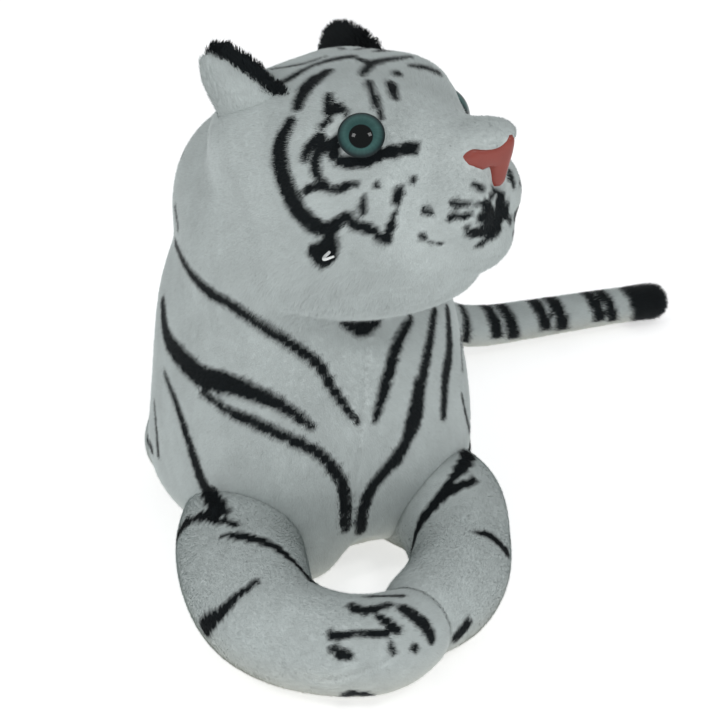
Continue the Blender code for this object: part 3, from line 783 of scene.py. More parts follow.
pictureStrokes = [
    # chest, its right half
    ([(176, 242), (187, 267), (207, 290), (230, 304), (260, 324), (292, 345), (318, 365), (334, 391), (357, 422)],
     (5, 8, 9, 9, 5)),
    ([(163, 303), (167, 335), (180, 356), (203, 377), (230, 384), (253, 393), (279, 404), (311, 426)],
     (8, 12, 16, 12, 7)),
    ([(203, 393), (226, 409), (253, 422), (288, 438), (318, 453), (336, 473), (345, 496), (346, 528)],
     (4, 9, 9, 9, 7)),
    ([(165, 373), (178, 407), (189, 441), (203, 482), (221, 512)], (3, 6, 8, 11)),
    ([(187, 519), (210, 519), (237, 525)], (4, 5, 4)),
    ([(176, 207), (179, 230)], (4, 3)),
    ([(155, 402), (159, 455)], (3, 4)),
    ([(345, 321), (362, 327), (376, 321)], (8, 16, 8)),
    # chest, its left half
    ([(410, 319), (396, 347), (387, 379), (375, 420)], (6, 9, 9, 5)),
    ([(434, 312), (428, 349), (421, 384), (417, 418), (405, 443), (389, 466), (371, 489), (364, 508), (360, 531)],
     (6, 8, 9, 9, 7)),
    ([(418, 382), (411, 425), (398, 462)], (7, 11, 6)),
    ([(447, 310), (449, 347), (445, 379), (443, 416)], (7, 9, 9, 6)),
    ([(458, 310), (462, 370)], (3, 3)),
    ([(461, 395), (469, 432)], (3, 4)),
    ([(470, 441), (467, 459), (456, 475), (444, 489)], (9, 9, 6, 4)),
    ([(474, 480), (446, 493), (430, 510), (419, 526), (411, 553)], (5, 8, 9, 7, 4)),
    ([(476, 532), (492, 537), (508, 553)], (4, 7, 6)),
    # arms and paws
    ([(220, 537), (241, 536), (271, 545), (292, 560), (312, 582)], (3, 8, 8, 7, 5)),
    ([(257, 581), (237, 597), (220, 613), (204, 628)], (4, 6, 8, 12)),
    ([(353, 607), (365, 611), (390, 604)], (8, 7, 4)),
    ([(331, 635), (341, 636), (359, 633), (380, 634), (396, 630)], (8, 5, 5, 6, 4)),
    ([(380, 618), (389, 624), (398, 631)], (6, 9, 6)),
    ([(333, 650), (341, 653), (349, 656)], (7, 10, 7)),
    ([(390, 642), (394, 654)], (4, 4)),
    ([(404, 609), (424, 624), (431, 638)], (9, 11, 8)),
    ([(414, 648), (415, 649)], (6, 6)),
    ([(457, 637), (466, 626)], (8, 9)),
    ([(343, 697), (352, 693)], (6, 8)),
    ([(362, 694), (374, 696)], (8, 5)),
    ([(148, 438), (153, 450)], (5, 6)),
    ([(365, 597), (404, 596)], (3, 3)),
]
faceStrokes = [
    ([(290, 122), (281, 143), (281, 166), (288, 189), (298, 209), (313, 224), (329, 235), (329, 250), (318, 258)],
     (9, 16, 17, 15, 13)),
    ([(315, 252), (330, 250), (322, 262)], (14, 17, 12)),
    ([(329, 230), (346, 217), (354, 224), (372, 230), (381, 242)], (12, 11, 10, 10, 5)),
    ([(387, 242), (392, 222), (395, 212)], (8, 8, 4)),
    ([(363, 197), (363, 210)], (5, 9)),
    ([(397, 201), (400, 189)], (9, 8)),
    ([(413, 180), (414, 179)], (6, 6)),
    ([(303, 160), (310, 146), (322, 138), (332, 150), (344, 162), (362, 161), (385, 153), (413, 148)],
     (6, 9, 12, 12, 11, 12)),
    ([(338, 140), (334, 152), (341, 163)], (10, 14, 8)),
    ([(326, 143), (316, 158), (318, 176), (331, 189), (344, 187), (351, 184)], (8, 10, 9, 9, 7)),
    ([(305, 191), (316, 186)], (7, 8)),
    ([(329, 95), (329, 112), (339, 108), (347, 113)], (6, 8, 9, 5)),
    ([(320, 127), (330, 121)], (5, 6)),
    ([(369, 82), (374, 97), (381, 117)], (6, 7, 5)),
    ([(391, 84), (395, 99)], (8, 6)),
    ([(298, 107), (303, 94), (313, 82), (329, 71)], (9, 12, 12, 7)),
    ([(280, 84), (293, 77), (313, 66), (334, 60), (352, 57)], (5, 6, 4, 8, 8)),
    ([(270, 70), (284, 68), (304, 64), (326, 57)], (2, 4, 3, 3)),
    ([(359, 60), (372, 63), (388, 60), (410, 57)], (6, 8, 6, 4)),
    ([(362, 75), (370, 66), (376, 62)], (5, 7, 7)),
    ([(410, 66), (425, 68), (438, 73)], (4, 6, 6)),
    ([(454, 205), (457, 202)], (8, 8)),
    ([(475, 184), (478, 188), (484, 189)], (6, 6, 4)),
    ([(494, 190), (502, 194)], (5, 5)),
    ([(484, 217), (492, 213)], (9, 9)),
    ([(471, 234), (477, 230)], (8, 7)),
    ([(509, 172), (514, 186)], (5, 4)),
]
# single speckles of the face: place and width
speckles = [
    (455, 204, 11), (464, 204, 6), (450, 218, 6), (456, 217, 7), (463, 217, 7), (469, 215, 6), (476, 205, 5),
    (483, 204, 6), (488, 206, 6), (498, 203, 9), (505, 206, 7), (500, 197, 6), (491, 196, 6), (498, 214, 10),
    (489, 217, 14), (480, 218, 7), (489, 224, 9), (497, 223, 8), (504, 214, 7), (476, 232, 11), (484, 231, 10),
    (491, 231, 9), (497, 232, 6), (489, 238, 7), (479, 245, 6), (466, 228, 5), (509, 220, 6), (427, 211, 9),
    (377, 185, 6), (355, 184, 6), (397, 74, 7), (412, 180, 6), (422, 237, 7), (431, 243, 4), (440, 243, 4),
]
# strokes for the sides that the picture hides: places in mm on a plane across each side's line of sight
hiddenStrokes = {
    "right": [
        ([(-50, 112), (-58, 90), (-60, 66)], (5, 5, 3)),
        ([(-18, 116), (-24, 90), (-20, 62), (-26, 40)], (6, 6, 4, 2)),
        ([(6, 100), (-2, 78)], (5, 3)),
        ([(26, 104), (20, 82), (26, 70)], (6, 5, 3)),
        ([(60, 100), (56, 74), (64, 50), (60, 34)], (6, 6, 4, 2)),
        ([(86, 88), (86, 62), (94, 44)], (5, 5, 3)),
        ([(34, 60), (16, 52), (4, 38)], (5, 5, 3)),
        ([(46, 44), (28, 34), (16, 22)], (5, 5, 2)),
        ([(2, 26), (-10, 18), (-14, 8)], (4, 4, 3)),
        ([(-150, 44), (-140, 30), (-138, 14)], (5, 6, 3)),
    ],
    "left": [
        ([(-56, 112), (-50, 88), (-56, 64), (-50, 46)], (6, 6, 4, 2)),
        ([(-20, 112), (-18, 86), (-24, 66)], (6, 5, 3)),
        ([(12, 102), (8, 84)], (5, 3)),
        ([(38, 104), (36, 80), (42, 60)], (6, 6, 3)),
        ([(70, 100), (68, 76), (74, 60)], (6, 5, 3)),
        ([(22, 58), (6, 52), (-10, 38)], (5, 5, 3)),
        ([(32, 40), (14, 34), (0, 22)], (5, 5, 2)),
        ([(-18, 26), (-28, 18), (-30, 8)], (4, 4, 3)),
        ([(-84, 90), (-80, 66), (-88, 50)], (5, 5, 3)),
        ([(-150, 26), (-148, 18), (-152, 10)], (3, 5, 3)),
        ([(-112, 34), (-110, 24), (-114, 14)], (3, 5, 3)),
    ],
    "top": [
        ([(-34, -30), (-12, -20), (4, -26)], (4, 6, 4)),
        ([(36, -18), (14, -10), (4, -16)], (4, 6, 4)),
        ([(-36, 12), (-14, 18), (2, 12)], (4, 6, 4)),
        ([(42, 20), (20, 26), (8, 20)], (4, 6, 4)),
        ([(-34, 46), (-12, 52), (4, 46)], (4, 6, 4)),
        ([(44, 54), (22, 60), (10, 54)], (4, 6, 4)),
        ([(4, -34), (5, 10), (8, 50), (8, 82)], (3, 4, 4, 3)),
    ],
    "back": [
        ([(-30, 74), (-18, 56), (-20, 38)], (5, 6, 3)),
        ([(4, 82), (10, 60), (6, 40)], (5, 6, 3)),
        ([(36, 76), (30, 58), (36, 44)], (5, 5, 3)),
        ([(-40, 200), (-20, 206), (2, 203)], (3, 5, 3)),
        ([(-46, 184), (-26, 190), (-4, 186), (12, 190)], (3, 6, 5, 3)),
        ([(-50, 166), (-34, 172), (-14, 168)], (4, 6, 3)),
        ([(0, 168), (16, 173), (34, 166)], (3, 6, 4)),
        ([(-40, 148), (-18, 153), (8, 149), (30, 150)], (3, 5, 5, 3)),
    ],
}
stripes = {
    "gridStep": 0.001, "margin": 0.012, "reach": 0.003, "wider": 1.27, "faceShare": 0.84, "swell": 0.00032,
    "spacing": 1.5, "hiddenSpacing": 0.001, "steepest": 0.55, "edgeOn": 0.12, "middle": 0.006,
    # where past an edge the skin is looked for: first distance, step, count of steps and widest gap
    "beside": (0.68, 0.004, 80, 0.005),
}


def skinTree(names):
    places, corners, shift = [], [], 0
    for name in names:
        mesh = skins[name].data
        places.append(pointsOf(mesh))
        corners.append(trianglesOf(mesh) + shift)
        shift += len(places[-1])
    return BVHTree.FromPolygons(np.vstack(places).tolist(), np.vstack(corners).tolist())


allSkins = skinTree(["body", "rightArm", "leftArm", "rightLeg", "leftLeg", "tail"])
bodyTree = skinTree(["body"])


def strokeDots(corners, widths, spacing):
    # evenly spaced places along a stroke, with half its width at each
    corners = np.array(corners, float)
    line = smoothPath(corners, 40 * len(corners))
    run = np.concatenate(([0], np.cumsum(np.linalg.norm(np.diff(line, axis=0), axis=1))))
    count = max(int(run[-1] / spacing), 1) + 1
    at = np.linspace(0, run[-1], count)
    line = np.stack([np.interp(at, run, line[:, axis]) for axis in range(line.shape[1])], axis=1)
    half = np.interp(at / max(run[-1], 1e-9), np.linspace(0, 1, len(widths)), widths) / 2
    return line, half


def picturedDots(strokes, tree, share=1.0):
    dots = []
    eye = Vector(camera["place"])
    nearest, apart, count, widest = stripes["beside"]
    for corners, widths in strokes:
        for (across, down), half in zip(*strokeDots(corners, widths, stripes["spacing"])):
            direction = Vector(sightLine(across, down))
            place, normal = tree.ray_cast(eye, direction)[:2]
            if place is None:
                # just past the edge: the nearest skin beside the sight line
                reaches = [nearest + apart * step for step in range(count)]
                beside = [tree.find_nearest(eye + direction * reach, widest) for reach in reaches]
                beside = [found for found in beside if found[0] is not None]
                if not beside:
                    continue
                place, normal = min(beside, key=lambda found: found[3])[:2]
            slant = max(abs(normal @ direction), stripes["steepest"]) ** 0.5
            dots.append((*place, half * pixelSize(place) * stripes["wider"] * share / slant + stripes["swell"]))
    return dots


def hiddenDots():
    # each side's way out, and the start of a line of sight from a place on its plane
    looks = {
        "right": ((-1, 0, 0), lambda a, b: (-1, a, b)), "left": ((1, 0, 0), lambda a, b: (1, a, b)),
        "top": ((0, 0, 1), lambda a, b: (a, b, 1)), "back": ((0, 1, 0), lambda a, b: (a, 1, b)),
    }
    dots = []
    for look, strokes in hiddenStrokes.items():
        outward, start = looks[look]
        for corners, widths in strokes:
            line, halves = strokeDots(np.array(corners) / 1000, widths, stripes["hiddenSpacing"])
            for (first, second), half in zip(line, halves):
                place = allSkins.ray_cast(Vector(start(first, second)), -Vector(outward))[0]
                if place is not None:
                    dots.append((*place, half / 1000))
    return dots


def mirroredDots(dots):
    # the face's dye on its other side, where the camera can't see it
    kept = []
    for x, y, z, half in dots:
        forward, left, up = inHead(np.array(((x, y, z),)))[0]
        if left > -stripes["middle"]:
            continue
        place, normal = bodyTree.find_nearest(Vector(headPlace(forward, -left, up)))[:2]
        if normal @ (Vector(camera["place"]) - place).normalized() < stripes["edgeOn"]:
            kept.append((*place, half))
    return kept


faceStrokes += [([(across, down), (across + 1, down)], (wide, wide)) for across, down, wide in speckles]
faceDots = picturedDots(faceStrokes, bodyTree, stripes["faceShare"])
dyeDots = np.array(picturedDots(pictureStrokes, allSkins) + hiddenDots() + faceDots + mirroredDots(faceDots))
gridLow = np.array(cadBox[0]) - stripes["margin"]
gridCount = np.ceil((np.array(cadBox[1]) + stripes["margin"] - gridLow) / stripes["gridStep"]).astype(int) + 1


def dyeGrid():
    # distance to the nearest stroke's edge, kept near the strokes only
    grid = np.full(gridCount, stripes["reach"], np.float32)
    step = stripes["gridStep"]
    for x, y, z, half in dyeDots:
        reach = half + stripes["reach"]
        place = np.array((x, y, z))
        low = np.maximum(((place - reach - gridLow) / step).astype(int), 0)
        high = np.minimum(((place + reach - gridLow) / step).astype(int) + 2, gridCount)
        axes = [gridLow[axis] + np.arange(low[axis], high[axis]) * step - place[axis] for axis in range(3)]
        away = np.sqrt(
            axes[0][:, None, None] ** 2 + axes[1][None, :, None] ** 2 + axes[2][None, None, :] ** 2
        ) - half
        block = grid[low[0]:high[0], low[1]:high[1], low[2]:high[2]]
        np.minimum(block, away, out=block)
    return grid


dyeDistances = dyeGrid()


def readDye(points):
    # distance to the nearest stroke's edge, between the grid's points
    spot = (points - gridLow) / stripes["gridStep"]
    base = np.clip(spot.astype(int), 0, gridCount - 2)
    part = np.clip(spot - base, 0, 1)
    total = np.zeros(len(points))
    for corner in range(8):
        shift = np.array((corner & 1, corner >> 1 & 1, corner >> 2 & 1))
        share = np.prod(np.where(shift, part, 1 - part), axis=1)
        where = base + shift
        total += share * dyeDistances[where[:, 0], where[:, 1], where[:, 2]]
    return total


print("stripes laid:", len(dyeDots), "dots of dye")

# tail rings, as ranges across the picture; each ring leans and is open underneath

tailRings = {
    "ranges": [(454, 462), (481, 494), (497, 510), (530, 543), (546, 560), (584, 597), (598, 609), (623, 760)],
    "lean": 0.55, "open": -0.55,
}


def acrossPicture(points):
    right, up, back = cameraAxes()
    away = points - np.array(camera["place"])
    reach = camera["side"] * camera["lens"] / camera["sensor"]
    return camera["side"] / 2 + reach * (away @ right) / -(away @ back)


def tailDye(points):
    station = alongLimb(points, tailLine)
    lifted = (points - tailLine[station])[:, 2] / tailRadii[station]
    across = acrossPicture(tailLine[station]) + tailRings["lean"] * 8 * lifted
    away = np.full(len(points), 9.0)
    for number, (start, end) in enumerate(tailRings["ranges"]):
        inside = np.maximum(start - across, across - end)
        if end < 700:
            inside = np.maximum(inside, (tailRings["open"] - lifted) * 16 + 3 * (number % 2))
        away = np.minimum(away, inside)
    return away / 2400


# waves: cheap smooth noise over space, the same each run

def waves(points, size, seed):
    randoms = np.random.default_rng(seed)
    total = np.zeros(len(points))
    for _ in range(5):
        direction = randoms.normal(size=3)
        direction = direction / np.linalg.norm(direction) * math.tau / size * randoms.uniform(0.6, 1.5)
        total += np.sin(points @ direction + randoms.uniform(0, math.tau))
    return total / 2.2


# seams: lines where the panels meet, with the pile parted along them

seamLines = {
    # over the picture, then in metres as seen from the top
    "picture": [
        [(368, 335), (366, 380), (361, 430), (357, 480), (351, 545)],
        [(458, 305), (462, 340), (463, 370), (466, 405), (474, 440)],
        [(296, 676), (310, 679), (322, 681), (345, 677), (366, 669), (384, 662), (399, 652)],
    ],
    "top": [[(0.002, -0.020), (0.004, 0.020), (0.006, 0.060), (0.008, 0.096)]],
    "wide": 0.0016, "sink": 0.0008, "margin": 0.004, "far": 9.0, "atOnce": 20000,
}


def seamDots():
    rays = [
        (camera["place"], sightLine(across, down))
        for corners in seamLines["picture"] for across, down in strokeDots(corners, (1, 1), 2)[0]
    ]
    rays += [
        ((first, second, 1), (0, 0, -1))
        for corners in seamLines["top"] for first, second in strokeDots(corners, (1, 1), 0.001)[0]
    ]
    hits = [allSkins.ray_cast(Vector(start), Vector(direction))[0] for start, direction in rays]
    return np.array([tuple(place) for place in hits if place is not None])


seamPlaces = seamDots()


def nearSeam(points):
    # distance to the nearest seam, and the way from it
    nearest, way = np.full(len(points), seamLines["far"]), np.zeros((len(points), 3))
    low, high = seamPlaces.min(axis=0) - seamLines["margin"], seamPlaces.max(axis=0) + seamLines["margin"]
    chosen = np.flatnonzero(((points > low) & (points < high)).all(axis=1))
    for start in range(0, len(chosen), seamLines["atOnce"]):
        rows = chosen[start:start + seamLines["atOnce"]]
        gap = np.linalg.norm(points[rows][:, None, :] - seamPlaces[None], axis=2)
        best = gap.argmin(axis=1)
        nearest[rows] = gap[np.arange(len(rows)), best]
        way[rows] = points[rows] - seamPlaces[best]
    return nearest, normalised(way)


def sinkSeams(skin):
    points, normals = pointsOf(skin.data), normalsOf(skin.data)
    nearest, _ = nearSeam(points)
    depth = seamLines["sink"] * np.clip(1 - nearest / (seamLines["wide"] * 1.6), 0, 1) ** 2
    placePoints(skin, points - normals * depth[:, None])


# pile: blades of fibre grown on a skin

pile = {
    # the cream colour is a cream tint with painted light bounced from the floor, used low down on faces turned downward
    "white": (0.5, 0.545, 0.538), "creamBounceLight": (0.58, 0.585, 0.53), "black": (0.0055, 0.0075, 0.0085),
    "bounceLightBelow": 0.035, "dyeEdge": 0.00022, "ragged": 0.00024, "spread": 0.04, "blackSpread": 0.35,
    # the root factor darkens each blade's root as painted shade deep in the pile, and the tip factor lightens its tip
    # as painted light
    "paintedSeamShade": 0.16, "seamEdge": 0.0011, "paintedRootShade": 0.88, "paintedTipLight": 1.05, "even": 0.84,
    "lengths": (0.72, 1.12), "widths": (0.75, 1.25), "leanSpread": 0.08, "leans": (0.2, 1.44), "seamShort": 0.35,
    "tuft": 0.0017, "tuftShift": 0.0006, "rootDepth": 0.0004, "lowest": 0.0003, "dyeReach": 0.9, "quickShare": 0.4,
}
seeds = {
    "body": 11, "rightArm": 39, "leftArm": 38, "rightLeg": 46, "leftLeg": 45, "tail": 51,
    "rightEarBack": 66, "rightEarLining": 76, "leftEarBack": 65, "leftEarLining": 75,
}


def coloursFor(points, normals, dyeAway, randoms):
    # white pile, dyed black inside the strokes; a little lighter and creamier low down on faces turned to the floor, a
    # cream tint with painted light bounced up from the floor; darker along the seams as painted shade
    low = np.clip((pile["bounceLightBelow"] - points[:, 2]) / pile["bounceLightBelow"], 0, 1) * np.clip(0.2 - normals[:, 2], 0, 1)
    white = np.array(pile["white"]) * (1 - low)[:, None] + np.array(pile["creamBounceLight"]) * low[:, None]
    white = white * (1 + 0.035 * waves(points, 0.030, 3) + 0.02 * waves(points, 0.008, 4))[:, None]
    white = white * (1 + pile["spread"] * randoms.normal(size=len(points)))[:, None]
    # painted shade along the seams, where the parted pile dips into a groove
    white = white * (1 - pile["paintedSeamShade"] * np.clip(1 - nearSeam(points)[0] / pile["seamEdge"], 0, 1))[:, None]
    ragged = pile["ragged"] * (0.9 * randoms.normal(size=len(points)) + 0.5 * waves(points, 0.0022, 5))
    dyed = np.clip(0.5 - (dyeAway + ragged) / (2 * pile["dyeEdge"]), 0, 1)[:, None]
    black = np.array(pile["black"]) * (1 + pile["blackSpread"] * np.abs(randoms.normal(size=len(points))))[:, None]
    return np.clip(white * (1 - dyed) + black * dyed, 0, 1)


def rootsOn(skin, perArea, randoms, wanted):
    # random places over the skin, so many to the square mm, with their normals; wanted thins them out by place
    mesh = skin.data
    points, normals, corners = pointsOf(mesh), normalsOf(mesh), trianglesOf(mesh)
    first, second, third = (points[corners[:, number]] for number in range(3))
    areas = np.linalg.norm(np.cross(second - first, third - first), axis=1) / 2
    middles = (first + second + third) / 3
    share = wanted(middles, normalised(np.cross(second - first, third - first)))
    expected = areas * 1e6 * perArea * share
    counts = np.floor(expected + randoms.random(len(expected))).astype(int)
    face = np.repeat(np.arange(len(counts)), counts)
    a, b = randoms.random(len(face)), randoms.random(len(face))
    over = a + b > 1
    a[over], b[over] = 1 - a[over], 1 - b[over]
    weights = np.stack((1 - a - b, a, b), axis=1)
    roots = (points[corners[face]] * weights[:, :, None]).sum(axis=1)
    ups = normalised((normals[corners[face]] * weights[:, :, None]).sum(axis=1))
    return roots, ups


def growPile(name, perArea, length, flow, wanted, lean, width=0.00029, ruffle=0.14, clump=0.15, stray=0.11):
    # gives the blades' roots, ups, tips and width, their colours at root and tip, and their seed
    seed, dye = seeds[name], dyeOf(name)
    randoms = np.random.default_rng(seed)
    roots, ups = rootsOn(skins[name], perArea * (1), randoms, wanted)
    lengths = length(roots) * randoms.uniform(*pile["lengths"], len(roots))
    bendy = np.stack([
        waves(roots, 0.014, seed + 10 + axis) + 0.6 * waves(roots, 0.005, seed + 20 + axis) for axis in range(3)
    ], axis=1)
    way = normalised(flow(roots)) + ruffle * bendy + stray * randoms.normal(size=roots.shape)
    seamAway, seamWay = nearSeam(roots)
    parted = np.clip(1 - seamAway / seamLines["wide"], 0, 1)
    way = way + seamWay * (0.5 * parted)[:, None]
    lengths = lengths * (1 - pile["seamShort"] * parted)
    way = normalised(way - ups * (way * ups).sum(axis=1)[:, None])
    tilt = lean * (1 + pile["leanSpread"] * randoms.normal(size=len(roots)))
    direction = normalised(way * np.tan(np.clip(tilt, *pile["leans"]))[:, None] + ups)
    tips = roots + direction * lengths[:, None]
    # blades that stand in one small cell lean together into a tuft
    cell = np.floor((roots + pile["tuftShift"] * bendy) / pile["tuft"]).astype(np.int64)
    member = np.unique(cell[:, 0] * 4000003 + cell[:, 1] * 20011 + cell[:, 2], return_inverse=True)[1].ravel()
    size = np.bincount(member)
    mean = np.stack([np.bincount(member, tips[:, axis]) / size for axis in range(3)], axis=1)
    tips = tips + (mean[member] - tips) * clump * randoms.random(len(tips))[:, None]
    tips[:, 2] = np.maximum(tips[:, 2], pile["lowest"])
    # the dye is read on the skin under the root and under the tip, so stripes keep a clean edge
    under = tips - ups * ((tips - roots) * ups).sum(axis=1)[:, None]
    rootColours, tipColours = (
        coloursFor(roots, ups, dye(places), np.random.default_rng(seed + 5))
        for places in (roots, roots + (under - roots) * pile["dyeReach"])
    )
    return {
        "roots": roots - ups * pile["rootDepth"], "ups": ups, "tips": tips, "width": width,
        "rootColours": rootColours, "tipColours": tipColours, "seed": seed,
    }


def addBlades(name, blades, chosen, bent=False):
    # one mesh of blades: a single face each, or two where they are long enough to bend over
    roots, ups, tips = blades["roots"][chosen], blades["ups"][chosen], blades["tips"][chosen]
    rootColours, tipColours = blades["rootColours"][chosen], blades["tipColours"][chosen]
    randoms = np.random.default_rng(blades["seed"] + 77)
    line = tips - roots
    side = normalised(np.cross(ups, line) + 0.0004 * randoms.normal(size=roots.shape))
    half = side * (blades["width"] / 2 * randoms.uniform(*pile["widths"], len(roots)))[:, None]
    count = len(roots)
    # root corners are darkened as painted shade and tips lightened as painted light
    if bent:
        lifted = roots + line * 0.5 + ups * (np.linalg.norm(line, axis=1) * 0.10)[:, None]
        rows = np.stack((roots + half, roots - half, lifted - half * 0.85, lifted + half * 0.85, tips), axis=1)
        tones = [rootColours * pile["paintedRootShade"]] * 2 + [tipColours] * 2 + [tipColours * pile["paintedTipLight"]]
        loops = (np.arange(count)[:, None] * 5 + np.array((0, 1, 2, 3, 3, 2, 4))[None]).ravel()
        sizes = np.tile((4, 3), count)
    else:
        rows = np.stack((roots + half, roots - half, tips), axis=1)
        tones = [rootColours * pile["paintedRootShade"]] * 2 + [tipColours * pile["paintedTipLight"]]
        loops = np.arange(count * 3)
        sizes = np.full(count, 3)
    each = rows.shape[1]
    mesh = bpy.data.meshes.new(name)
    mesh.vertices.add(count * each)
    mesh.vertices.foreach_set("co", rows.astype(np.float32).ravel())
    mesh.loops.add(len(loops))
    mesh.loops.foreach_set("vertex_index", loops.astype(np.int32))
    starts = np.concatenate(([0], np.cumsum(sizes)[:-1]))
    mesh.polygons.add(len(sizes))
    mesh.polygons.foreach_set("loop_start", starts.astype(np.int32))
    mesh.update(calc_edges=True)
    # each blade shades mostly with the skin under it, which keeps short pile soft and even
    own = normalised(np.cross(line, side))
    own = own * np.sign((own * ups).sum(axis=1))[:, None]
    shading = normalised(ups * pile["even"] + own * (1 - pile["even"]))
    mesh.normals_split_custom_set_from_vertices(np.repeat(shading, each, axis=0).tolist())
    layer = mesh.color_attributes.new(name="pileColour", type="FLOAT_COLOR", domain="POINT")
    shaded = np.ones((count, each, 4), np.float32)
    shaded[:, :, :3] = np.stack(tones, axis=1)
    layer.data.foreach_set("color", shaded.ravel())
    made = bpy.data.objects.new(name, mesh)
    bpy.context.scene.collection.objects.link(made)
    return made


def lift(values, low, high):
    part = np.clip((values - low) / (high - low), 0, 1)
    return part * part * (3 - 2 * part)


def steady(value):
    return lambda points: np.full(len(points), value)


eyeSeats = {sideName: eyeSeat(sideName) for sideName in ("right", "left")}
bare = {
    "eyeEdge": 0.0009, "eyeHeight": 0.010, "noseEdge": 0.0008, "noseFrom": 0.050,
    "underFloor": 0.0015, "facingDown": -0.9, "floorShare": 0.04, "buried": -0.006, "buriedShare": 0.1,
    "earBuried": -0.004,
}


def clearOfFittings(points):
    # 0 under the eyes and the nose, 1 elsewhere
    clear = np.ones(len(points))
    for place, axis in eyeSeats.values():
        offset = points - place
        height = offset @ axis
        across = np.linalg.norm(offset - height[:, None] * axis, axis=1)
        clear[(across < eyes["width"] / 2 - bare["eyeEdge"]) & (np.abs(height) < bare["eyeHeight"])] = 0
    forward, across, up = inHead(points).T
    clear[(outlineDistance(across, up, nose["half"]) < -bare["noseEdge"]) & (forward > bare["noseFrom"])] = 0
    return clear


def thinned(wanted, points, normals, others):
    # few blades where the toy rests on the floor or where another part is pressed over them
    wanted[(points[:, 2] < bare["underFloor"]) & (normals[:, 2] < bare["facingDown"])] = bare["floorShare"]
    for form in others:
        wanted[form(points) < bare["buried"]] = bare["buriedShare"]
    return wanted


def bodyWanted(points, normals):
    limbs = (hindLegForm("right"), hindLegForm("left"), rightArmForm, leftArmForm)
    return thinned(clearOfFittings(points), points, normals, limbs)


def limbWanted(points, normals):
    return thinned(np.ones(len(points)), points, normals, [torsoForm])


def earWanted(points, normals):
    return np.where(headForm(points) < bare["earBuried"], 0.0, 1.0)


# lengths in metres; the other pairs are where each change of length or flow starts and ends
bodyPile = {
    "perArea": 5.2, "lean": 1.25, "torsoLength": 0.0024, "headLength": 0.0025, "muzzleLength": 0.0017,
    "ruffLength": 0.0048, "neck": (-0.002, 0.004), "muzzleForward": (0.030, 0.052), "muzzleUp": (-0.040, -0.020),
    "ruffDown": (0.022, 0.046), "ruffForward": (-0.022, 0.000), "nearEye": (0.009, 0.014), "eyeShort": 0.55,
    "jawDown": (0.020, 0.045), "mostInMesh": 196000,
}
limbPile = {"perArea": 5.4, "length": 0.0020, "lean": 1.27, "armHabit": {"ruffle": 0.05, "clump": 0.08, "stray": 0.05}}
tailPile = {"perArea": 5.6, "length": 0.0030, "tipLength": 0.0050, "tip": (0.006, 0.024), "lean": 1.18}
earPile = {
    "perArea": 5.0, "length": 0.0024, "lean": 1.25, "dye": 0.004,
    "liningPerArea": 5.2, "liningLength": 0.0036, "liningLean": 0.85, "liningDye": -0.004,
    "liningHabit": {"width": 0.00032, "ruffle": 0.4, "clump": 0.3},
}


def dyeOf(name):
    # distance to the dye's edge: rings on the tail, black linings and white backs on the ears, strokes elsewhere
    if "Ear" in name:
        return steady(earPile["liningDye" if "Lining" in name else "dye"])
    return tailDye if name == "tail" else readDye


def onHead(points):
    # 0 on the torso, 1 on the head
    return lift(torsoForm(points) - headForm(points), *bodyPile["neck"])


def bodyLength(points):
    local = inHead(points)
    headward = onHead(points)
    forward = lift(local[:, 0], *bodyPile["muzzleForward"])
    muzzle = forward * lift(local[:, 2], *bodyPile["muzzleUp"])
    ruff = lift(-local[:, 2], *bodyPile["ruffDown"]) * (1 - forward) * lift(local[:, 0], *bodyPile["ruffForward"])
    headLength = bodyPile["headLength"] * (1 - muzzle) + bodyPile["muzzleLength"] * muzzle
    headLength = headLength + (bodyPile["ruffLength"] - headLength) * ruff
    length = bodyPile["torsoLength"] * (1 - headward) + headLength * headward
    for place, _ in eyeSeats.values():
        near = np.linalg.norm(points - place, axis=1)
        length = length * (bodyPile["eyeShort"] + 0.45 * lift(near, *bodyPile["nearEye"]))
    return length


def bodyFlow(points):
    headward = onHead(points)[:, None]
    down = np.tile((0.0, 0.55, -0.80), (len(points), 1))
    away = normalised(points - headPlace(0.070, 0, 0.004)) + np.array((0, 0, -0.30))
    jaw = lift(-inHead(points)[:, 2], *bodyPile["jawDown"])[:, None]
    away = away + jaw * np.array((0, 0, -0.9))
    return down * (1 - headward) + away * headward


def limbFlow(stations):
    ahead = np.gradient(stations, axis=0)
    return lambda points: ahead[alongLimb(points, stations)] / 0.002 + np.array((0, 0, -0.25))


def legFlow(points):
    return np.tile((0.0, -0.5, -0.8), (len(points), 1))


def earFlow(sideName):
    base, axes = earAxes(sideName)

    def flow(points):
        local = (points - base) @ axes
        outward = np.stack((local[:, 0] * 12, np.zeros(len(points)), np.full(len(points), 0.6)), axis=1)
        return outward @ axes.T

    return flow


for name in ("body", "rightArm", "leftArm"):
    sinkSeams(skins[name])

pieces = {}


def growBody():
    # in several meshes, each a band from front to back
    blades = growPile("body", bodyPile["perArea"], bodyLength, bodyFlow, bodyWanted, bodyPile["lean"])
    headward = onHead(blades["roots"])
    for label, inside in (("torsoPile", headward < 0.5), ("headPile", headward >= 0.5)):
        chosen = np.flatnonzero(inside)
        chosen = chosen[np.argsort(blades["roots"][chosen, 1])]
        count = max(math.ceil(len(chosen) / bodyPile["mostInMesh"]), 1)
        for number, rows in enumerate(np.array_split(chosen, count)):
            pieces[f"{label}{number + 1}"] = addBlades(f"{label}{number + 1}", blades, rows)


def growWhole(name, *growth, bent=False, **habit):
    blades = growPile(name, *growth, **habit)
    pieces[f"{name}Pile"] = addBlades(f"{name}Pile", blades, np.arange(len(blades["roots"])), bent)


